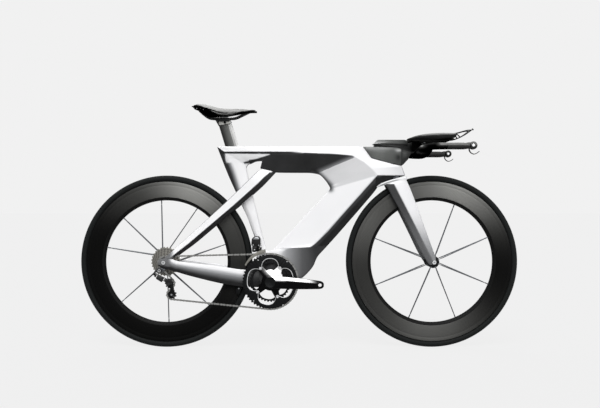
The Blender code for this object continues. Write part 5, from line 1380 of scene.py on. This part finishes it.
# eight corners at each station, rounded; a collar round the steerer and its bolts
def buildStem():
    rows = []
    for (tx, tz), (bx, bz), wide, narrow in cockpit["stem"]:
        share = np.array([0, 0.15, 0.65, 1.0])
        half = np.array([wide * 0.8, wide, max(wide * 0.95, narrow), narrow])
        flat = np.stack([tx + (bx - tx) * share, half, tz + (bz - tz) * share], -1)
        rows.append(np.vstack([flat, flat[::-1] * [1, -1, 1]]))
    radius = [3, 5, 12, 3, 3, 12, 5, 3]
    shapes = [grid(roundLoop(softRows(rows, 0.4, 9), radius, 5), capped=True)]
    shapes.append(spun(cockpit["steerPoint"], steerWay, [(15.0, -9), (15.3, -8.5), (15.3, 14)], 48))
    for forward in (-1, 1):  # clamp bolts behind the steerer
        shapes.append(boltHead((306, forward * 8.5, 783.8), (0, 0, 1), 3.4, 2.6, 1))
    piece("stemBody", shapes, [stemCoat, brushedSteel], "steering", "stem", "grey_carbon", 40, tone=stemTone)


# painted light: pale at the rear, fading to black towards the front; black below the box as painted shade
def coverTone(normal, place):
    x, z = place[:, 0], place[:, 2]
    left = 0.78 - 0.68 * ramp(x, 330, 425)
    band = 0.8 + 0.5 * ramp(-z, -804, -794)
    return np.where(z < 793.6, 0.02, left * band)


# a box on a foot, with a lid held by two screws; the foot, painted black, also stands for the shade under the box
def buildCover():
    shapes = [slab(cockpit["cover"], -24, 24, 2.2, 5, 5), slab(cockpit["foot"], -14, 14, 1, 2)]
    lid = [(304, 808.5), (308, 810.9), (412, 810.9), (415, 808.5)]
    shapes.append(slab(lid, -17, 17, 1.2, 2))
    for x in (314, 405):
        shapes.append(boltHead((x, 0, 810.4), (0, 0, 1), 3.0, 1.6, 1))
    piece("stemCoverBox", shapes, [stemCoat, blackAlloy], "steering", "stem_cover", "grey_carbon", 40,
          tone=coverTone)


# painted light: grey where it faces up, painted highlights on the elbows, the drive side horn and the belly's
# middle
def barTone(normal, place):
    side = np.abs(place[:, 1])
    top = (0.34 - 0.22 * ramp(side, 80, 110)) * ramp(normal[:, 2], 0.15, 0.75)
    elbow = 0.75 * spot(place, 446, 771, 9, 7) * ramp(side, 165, 200)
    horn = 0.62 * ramp(place[:, 2], 768, 774) * ramp(place[:, 0], 490, 510) * ramp(-place[:, 1], 190, 205)
    belly = 0.6 * np.exp(-((side - 148) / 20) ** 2) * ramp(-normal[:, 2], 0.2, 0.8)
    belly = belly * ramp(-place[:, 0], -478, -452)
    return np.maximum(top, horn) + elbow + belly


# an oval of changing size carried along the bar from one horn to the other
def buildBar():
    half = softRows(cockpit["bar"], 0.45, 6)
    path = np.vstack([half * [1, -1, 1, 1, 1], half[::-1]])
    shapes = [carried(path[:, :3], oval(1, 1, 28, 2.4), path[:, 3:])]
    piece("baseBar", shapes, [barCoat], "steering", "base_bar", "grey_carbon", 60, tone=barTone)


def hoodTone(normal, place):  # painted light and shade: grey above its middle line, black below, the far hood darker as painted shade
    return 0.04 + 0.66 * ramp(place[:, 2], 767, 774) * np.where(place[:, 1] < 0, 1, 0.4)


# the hood is a tube closed at both ends with cheeks round the lever's ring, slotted for it
def buildHood(side, word):
    rows = softRows(np.array(cockpit["hood"], float) * [1, side, 1, 1, 1], 0.45, 5)
    px, pz = cockpit["leverPivot"]
    y = side * cockpit["leverY"]
    hood = meshFrom(word + "LeverHood", [carried(rows[:, :3], oval(1, 1, 24, 2.6), rows[:, 3:])], [gripRubber],
                    50)
    bore(hood, (px, pz), 15.2, y - 5.5, y + 5.5, 40, 50)
    shapes = []
    for low, high in ((5.6, 8.8), (-8.8, -5.6)):
        shapes.append(slab([(600, pz - 9), (600, pz + 9), (610, pz + 11), (619, pz + 11), (619, pz - 11),
                            (610, pz - 12)],
                           y + low, y + high, 1, 4))
        shapes.append(drum((px, pz), [(13.4, y + low), (14.4, y + low + 0.8), (14.4, y + high - 0.8),
                                      (13.4, y + high)], 40))
    shapes.append(drum((px, pz), [(4.5, y - 8.8), (4.5, y + 8.8)], 20, slot=1))
    for away in (-1, 1):
        shapes.append(boltHead((px, y + away * 8.6, pz), (0, away, 0), 5.2, 1.3, 1))
    for k in range(4):  # raised ribs where the thumb rests
        x = 566 + 9 * k
        ring = oval(21.6 - k * 0.3, 25.6, 24, 2.6)
        shapes.append(carried([(x - 1, side * 220.5, 770), (x, side * 220.5, 770), (x + 1, side * 220.5, 770)],
                              ring, [0.97, 1.0, 0.97]))
    parts = meshFrom(word + "HoodCheeks", shapes, [gripRubber, brightAlloy], 50)
    for part in (hood, parts):
        paintTone(part, hoodTone)
    mount(hood, "steering", word + "_lever_hood", finish="soft")
    mount(parts, "steering", finish="soft")


# a ring on the pivot and a hooked blade that tapers to its tip
def buildLever(side, word):
    px, pz = cockpit["leverPivot"]
    y = side * cockpit["leverY"]
    profile = [(5.1, y - 4.6), (8, y - 5), (12.6, y - 5), (13.5, y - 4.2), (13.5, y + 4.2), (12.6, y + 5),
               (8, y + 5), (5.1, y + 4.6)]
    path = softRows([(x, y, z) for x, z in cockpit["hook"]], 0.45, 5)
    sizes = np.stack([np.linspace(9.6, 7, len(path)), np.linspace(4.6, 2.6, len(path))], -1)
    shapes = [turned(profile, (px, pz), 48), carried(path, oval(1, 1, 14, 2.4), sizes, turnTo=(0.4, 0, 0.9))]
    piece(word + "BrakeLever", shapes, [blackAlloy], word + "_brake_lever", word + "_brake_lever", "black_alloy",
          50)


# forearm rest: a riser that ends in a pointed open loop, a cross arm, a padded cushion and a thumb button
def buildExtension(side, word):
    shapes = [slab(cockpit["riser"], side * 17, side * 31, 2.5, 4, 5)]
    for strand in cockpit["strands"]:
        path = softRows([(x, side * 24, z) for x, z in strand], 0.45, 5)
        shapes.append(carried(path, oval(12, 3.6, 14, 2.4)))
    piece(word + "Extension", shapes, [barCoat], "steering", word + "_extension", "carbon", 40,
          tone=extensionTone)
    cross = slab([(455, 793.5), (455, 800.8), (530, 800.8), (530, 793.5)], side * 30, side * 96, 1.5, 2.5)
    tray = slab([(428, 798), (424, 802), (432, 803.4), (560, 803.4), (585, 808), (584, 804.5), (560, 799)],
                side * 44, side * 97, 1.2, 2)
    shapes = [cross, tray]
    for x in (475, 510):
        for across in (52, 88):
            shapes.append(boltHead((x, side * across, 793.8), (0, 0, -1), 3.4, 2.4, 1))
    piece(word + "PadBracket", shapes, [barCoat, brushedSteel], "steering", "", "carbon", 40, tone=padArmTone)
    button = [(3.4, 0), (4.0, 0.5), (4.0, 3.6), (3.2, 4.6), (1.6, 4.9)]
    button = spun((672.6, side * 24, 849), (0.73, 0, 0.69), button, 24)
    piece(word + "ShiftButton", [button], [blackAlloy], word + "_shift_button", word + "_shift_button",
          "black_plastic", 50)


# painted light: grey where it faces up, two painted highlight patches, dimmer in front
def extensionTone(normal, place):
    top = 0.05 + 0.5 * ramp(normal[:, 2], 0.2, 0.8)
    pale = 0.16 * spot(place, 563, 815, 20, 5) + 0.12 * spot(place, 520, 802, 30, 5)
    return top * (1 - 0.2 * ramp(place[:, 0], 600, 640)) + pale


# painted light: dark, a little paler where it faces up
def padArmTone(normal, place):
    return 0.05 + 0.3 * ramp(normal[:, 2], 0.2, 0.9)


def padTone(normal, place):  # painted light: grey on the crown, palest along its upper edge
    return ramp(normal[:, 2], 0.2, 0.8) * (0.4 + 0.6 * ramp(place[:, 0], 420, 520))


# half rings from a dished crown to a flat belly, blown up as a cushion
def buildPad(side, word):
    s = softRows(cockpit["pad"], 0.45, 5)
    a = np.linspace(0, np.pi, 21)
    x, low, high, half = [s[:, i:i + 1] for i in range(4)]
    half = half - saddle["shrink"]
    dish = 3.5 * (1 - np.abs(np.cos(a))) * ramp(half, 12, 26)
    crown = low + (high - low) * (0.45 + 0.55 * np.sin(a) ** 0.6) - dish + 1.2
    upper = np.stack([x + 0 * a, half * np.cos(a), crown], -1)
    b = np.array([-0.96, -0.85, -0.5, 0, 0.5, 0.85, 0.96])
    rise = np.array([0.32, 0.12, 0.0, 0.0, 0.0, 0.12, 0.32])
    under = np.stack([x + 0 * b, half * b, low + 0.9 + rise * (high - low)], -1)
    shape = grid(np.concatenate([upper, under], 1) + [0, side * 70, 0], capped=True)
    pad = meshFrom(word + "ForearmPad", [shape], [padSkin], 60)
    puff(pad, **cockpit["cushion"])
    paintTone(pad, padTone)
    mount(pad, "steering", word + "_arm_pad", finish="soft")


# stem, its cover and the bar, then both sides of the controls
def buildCockpit():
    buildStem()
    buildCover()
    buildBar()
    for side, word in ((-1, "right"), (1, "left")):
        buildHood(side, word)
        buildLever(side, word)
        buildExtension(side, word)
        buildPad(side, word)


buildCockpit()
print("cockpit built")


# changers: the rear one hangs on a link that swings about a leaning axis; outlines are x, z or along, up
changer = {
    "swingStart": (-549.0, -78.0, 289.0), "swingEnd": (-512.0, -78.0, 270.5), "swingAxis": (0.427, 0.242, 0.871),
    "bolt": (-534.0, 306.0), "cagePivot": (-499.0, 262.0),
    "hanger": [(-529, 315.2), (-512, 311.2), (-517, 302), (-526, 297), (-537, 296), (-546, 302), (-548, 311),
               (-540, 317)],
    "bracket": [(-10, -4.2), (-5.4, -4.2), (-5.4, 10), (6, 11), (7, 21), (-2, 24), (-10, 18)],
    "cageOuter": [(-507, 266), (-499, 271.5), (-490, 267), (-484, 250), (-479, 215), (-483, 203), (-494, 200),
                  (-502, 207), (-501, 216), (-494, 232), (-497, 243), (-508, 250)],
    "cageInner": [(-504, 261), (-491, 261), (-485, 250), (-480, 215), (-484, 204), (-494, 201), (-501, 208),
                  (-500, 217), (-493, 233), (-503, 247)]}


# a point by its distance along the link, its height along the swing axis and its depth across both
def swung(along, up, deep):
    start, axis = np.array(changer["swingStart"]), np.array(changer["swingAxis"])
    axis = axis / np.linalg.norm(axis)
    run = np.subtract(changer["swingEnd"], start)
    run /= np.linalg.norm(run)
    return start + run * along + axis * up + np.cross(axis, run) * deep


# a flat outline laid along the link's own axes
def swungSlab(outline, low, high, soft=0.8, radius=1.5):
    flat = slab(outline, low, high, soft, radius)
    x, y, z = flat["verts"].T[..., None]
    return {**flat, "verts": swung(x, z, y)}


def darkTone(normal, place):  # black moulding, greyer where it faces up as painted light
    return 0.06 + 0.4 * ramp(normal[:, 2], 0.1, 0.85)


# a plate behind the dropout, drilled for the changer's bolt
def buildHanger():
    hanger = meshFrom("derailleurHanger", [slab(changer["hanger"], -71.4, -66.2, 1.0, 4)], [darkSteel], 40)
    bore(hanger, changer["bolt"], 4.3, -80, -60, sharp=40)
    mount(hanger, "frame", "derailleur_hanger", finish="alloy")


# bolt and mount, link with its four lugs, body with its knuckle, two cage plates
def buildRearChanger():
    run = np.linalg.norm(np.subtract(changer["swingEnd"], changer["swingStart"]))
    x, z = changer["bolt"]
    axis = changer["swingAxis"]
    shapes = [turned([(5.5, -82.5), (7.6, -84), (9.4, -83), (9.4, -73), (8.6, -72.1), (5.5, -72.1)], (x, z), 32)]
    shapes.append(turned([(3.2, -84.6), (5.6, -84.6), (5.8, -82), (3.2, -82)], (x, z), 28, slot=1))
    shapes.append(drum((x, z), [(3.9, -65.4), (3.9, -81.6), (5.4, -82), (5.6, -82.8), (3, -82.8), (2.6, -81.4)],
                       24))
    shapes.append(swungSlab(changer["bracket"], -6, 0.2))
    shapes.append(swungSlab([(-7.4, -3.6), (-7.4, 3.6), (-1, 3.6), (-1, -3.6)], -3, 3))
    shapes.append(spun(swung(0, -4, 0), axis, [(3.6, 0), (4.6, 0.8), (4.6, 7.2), (3.6, 8)], 20))
    piece("changerMount", shapes, [blackPlastic, brightAlloy], "frame", "derailleur_mount", "black_alloy", 40,
          tone=darkTone)
    shapes = [swungSlab([(7.5, -12), (6.5, 7.2), (run - 6.5, 7.2), (run - 7.5, -14)], -3.3, 3.3, 1.2, 3),
              swungSlab([(9, -9.6), (9, 5.6), (run - 9, 5.6), (run - 9, -11)], -4.1, -3.1, 0.6, 3)]
    for low, high in ((-7.0, -4.6), (4.6, 7.0)):
        for a, b in ((-3.4, 9), (run - 9, run + 3.4)):
            shapes.append(swungSlab([(a, low), (a, high), (b, high), (b, low)], -3.2, 3.2, 0.6, 1.0))
    for along in (0, run):
        shapes.append(spun(swung(along, -7.6, 0), axis, [(1.9, 0), (2.3, 0.4), (2.3, 14.8), (1.9, 15.2)], 16, 1))
    piece("changerLink", shapes, [blackPlastic, brushedSteel], "derailleur_link", "derailleur_link",
          "black_alloy", 40, tone=darkTone)
    px, pz = changer["cagePivot"]
    shapes = [drum((px, pz), [(12.4, -66.1), (13.4, -67.4), (13.4, -81), (11.6, -84), (5.6, -84), (5.2, -82.8),
                              (1, -82.6)], 36)]
    shapes.append(swungSlab([(run + 0.8, -3.8), (run + 0.8, 3.8), (run + 13, 4.5), (run + 13, -4.5)], -3.2, 3.2))
    shapes.append(spun(swung(run, -4, 0), axis, [(3.6, 0), (4.6, 0.8), (4.6, 7.2), (3.6, 8)], 20))
    shapes.append(drum((px, pz), [(4, -67), (4, -62.2)], 20, slot=1))
    shapes.append(slab([(-509, 262), (-506, 252), (-498, 250), (-490, 255), (-491, 262)], -81, -68, 1.5, 3))
    piece("changerBody", shapes, [blackPlastic, brushedSteel], "derailleur_body", "derailleur_body",
          "black_alloy", 40, tone=darkTone)
    shapes = [slab(changer["cageOuter"], -64.6, -63.2, 0.4, 3), slab(changer["cageInner"], -52.8, -51.4, 0.4, 3)]
    pin = [(2.6, -51.2), (3, -52), (3, -64.4), (4.2, -64.8), (3.6, -66), (2, -66), (1.8, -65.2)]
    shapes += [drum(centre, pin, 18, slot=1) for centre in (drive["guide"], drive["tension"])]
    piece("changerCage", shapes, [blackAlloy, brushedSteel], "derailleur_cage", "derailleur_cage", "black_alloy",
          40)


# pulley: nine tall teeth, five round windows and a shielded bearing
def buildPulleys():
    for name, centre, root in (("guide", drive["guide"], 5.0), ("tension", drive["tension"], 3.6)):
        y = drive["cogY"]
        wheel = meshFrom(name + "PulleyWheel",
                         [sprocket(centre, drive["pulleyTeeth"], y, 1.2, 5.2, 10, 0.6, root)],
                         [blackPlastic, brushedSteel], 40)
        for k in range(5):
            a = math.radians(72 * k + 20)
            hole = (centre[0] + 9.6 * math.cos(a), centre[1] + 9.6 * math.sin(a))
            bore(wheel, hole, 1.9, y - 4, y + 4, 12, 40)
        paintTone(wheel, darkTone)
        mount(wheel, name + "_pulley", name + "_pulley", finish="black_plastic")
        bearing = turned([(3.5, y - 1.5), (5.1, y - 1.5), (5.6, y - 1.1), (5.6, y + 1.1), (5.1, y + 1.5),
                          (3.5, y + 1.5)], centre, 24)
        piece(name + "PulleyBearing", [bearing], [brushedSteel], name + "_pulley", "", "steel", 40)


# strip that curves round the bracket between two angles and two radii, bowed like a formed plate
def arcPlate(start, end, inner, outer, y0, y1, comb=0.0):
    a = np.radians(np.linspace(start, end, 49))
    x, z = bracket
    teeth = inner + comb * (np.arange(49) % 4 > 1)
    rows = []
    for radius, y in ((teeth, y0), (outer, y0), (outer, y1), (teeth, y1)):
        rows.append(np.stack([x + radius * np.cos(a), np.full(49, y), z + radius * np.sin(a)], -1))
    return grid(roundLoop(np.stack(rows, 1), 0.5, 3), capped=True)


# front changer: the case's sides as x and z, then the cage's arcs in degrees and mm about the crank axis
frontChanger = {"case": (-187.5, -151.0, 393.9, 435.0), "arc": (99, 147), "inner": 112.4, "comb": 1.2,
                "plates": ((-55.8, -54.6), (-43.7, -42.6))}


# case on a clamp plate, and a cage of two combed arcs joined at both ends
def buildFrontChanger():
    x0, x1, z0, z1 = frontChanger["case"]
    body = [slab([(x0, z0 + 6), (x0 + 2, z1 - 10), (x0 + 12, z1), (x1 - 6, z1), (x1, z1 - 8), (x1, z0 + 4),
                  (x1 - 6, z0), (x0 + 8, z0)],
                 -31.8, -14.8, 3, 6)]
    body.append(slab([(-184, 376), (-184, 397), (-164, 397), (-164, 380), (-168, 374), (-180, 373)],
                     -31, -15, 2, 4))
    body.append(slab([(x0 + 6, z1 - 12), (x0 + 14, z1 - 3), (x1 - 8, z1 - 3), (x1 - 4, z1 - 12)], -33, -30, 1, 3,
                     slot=1))
    for bx, bz in ((x0 + 8, z0 + 7), (x1 - 7, z0 + 6), (-174, 383)):
        body.append(boltHead((bx, -30.8, bz), (0, -1, 0), 2.6, 2.0, 2))
    piece("frontChangerCase", body, [blackPlastic, brushedSteel, brightAlloy], "frame", "front_derailleur_body",
          "black_plastic", 40, tone=darkTone)
    tail = np.interp(np.arange(49), [0, 26, 48], [125.6, 124, 117.6])
    shapes = [arcPlate(*frontChanger["arc"], frontChanger["inner"], tail, *plate, frontChanger["comb"])
              for plate in frontChanger["plates"]]
    shapes += [arcPlate(99, 113, 123.6, 126, -55.6, -42.8), arcPlate(144, 147, 112, 114.5, -55.6, -42.8),
               slab([(-162, 385), (-162, 392.4), (-146, 392.4), (-146, 385)], -43.2, -22, 1, 2, slot=1),
               slab([(-160, 371), (-160, 390), (-148, 390), (-148, 371)], -43.2, -40, 1, 3, slot=1),
               boltHead((-154, -42.8, 388.5), (0, -1, 0), 3.2, 2.6)]
    piece("frontChangerCage", shapes, [cogSteel, blackAlloy], "front_derailleur_cage", "front_derailleur_cage",
          "steel", 40)


brakes = {
    "front": {"arm": [(338, 634), (350, 639), (358, 634), (366, 618), (384, 611), (381, 597), (360, 604),
                      (346, 620)],
              "pad": [(364, 612), (383, 609), (380, 599), (362, 602)], "pivot": (346, 631),
              "depths": (17.7, 21.9, 13.5, 18.2)},
    "rear": {"arm": [(-229, 236.6), (-239, 236.6), (-246, 230), (-247, 212), (-240, 208), (-232, 212),
                     (-228, 226)],
             "pad": [(-246, 226), (-234, 226), (-234, 211), (-246, 211)], "pivot": (-236, 231),
             "depths": (19.1, 24.9, 13.9, 19.8)}}
axles = {"front": {"body": "steering", "half": 63.5, "inner": 61},
         "rear": {"body": "frame", "half": 76, "inner": 73}}
upperRace = {"from": -17.0, "profile": [(14, 0), (15.4, 0.8), (15.4, 5.8), (14, 6.6)]}


# a shoe and a pad on each arm; rods with end caps; the race under the stem
def buildBrakesAndAxles():
    for word, brake in brakes.items():
        for side, name in ((-1, "right"), (1, "left")):
            a, b, c, d = [side * v for v in brake["depths"]]
            x, z = brake["pivot"]
            shapes = [slab(brake["arm"], a, b, 1, 3), slab(brake["pad"], c, d, 0.8, 1.5, slot=1),
                      boltHead((x, b - side * 0.4, z), (0, side, 0), 2.6, 0.5, 2)]
            node = word + "_brake_" + name + "_arm"
            arm = piece(word + "Brake" + name.capitalize(), shapes, [blackAlloy, tyreRubber, brushedSteel], node,
                        node, "black_alloy", 40)
            paintRadius(arm, hubCentre[word])
    for word, axle in axles.items():
        half, inner = axle["half"], axle["inner"]
        shapes = [drum(hubCentre[word], [(5.9, -half + 1), (5.9, half - 1)], 28)]
        for side in (-1, 1):
            cap = [(5.4, side * inner), (7.8, side * inner), (8, side * (inner + 0.6)), (7.2, side * half),
                   (4, side * half), (3.4, side * (half - 1.4))]
            shapes.append(drum(hubCentre[word], cap, 28, slot=1))
        piece(word + "AxleRod", shapes, [brushedSteel, brightAlloy], axle["body"], word + "_axle", "alloy", 40)
    race = spun(np.add(cockpit["steerPoint"], np.multiply(steerWay, upperRace["from"])), steerWay,
                upperRace["profile"], 40)
    piece("upperHeadsetRace", [race], [darkSteel], "frame", "upper_headset_bearing", "steel", 40)
    for node in ("bottom_bracket", "lower_headset_bearing"):  # turned races, mostly hidden
        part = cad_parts[node]
        part.data.materials.clear()
        part.data.materials.append(darkSteel)


buildHanger()
buildRearChanger()
buildPulleys()
buildFrontChanger()
buildBrakesAndAxles()
print("changers, brakes and axles built")
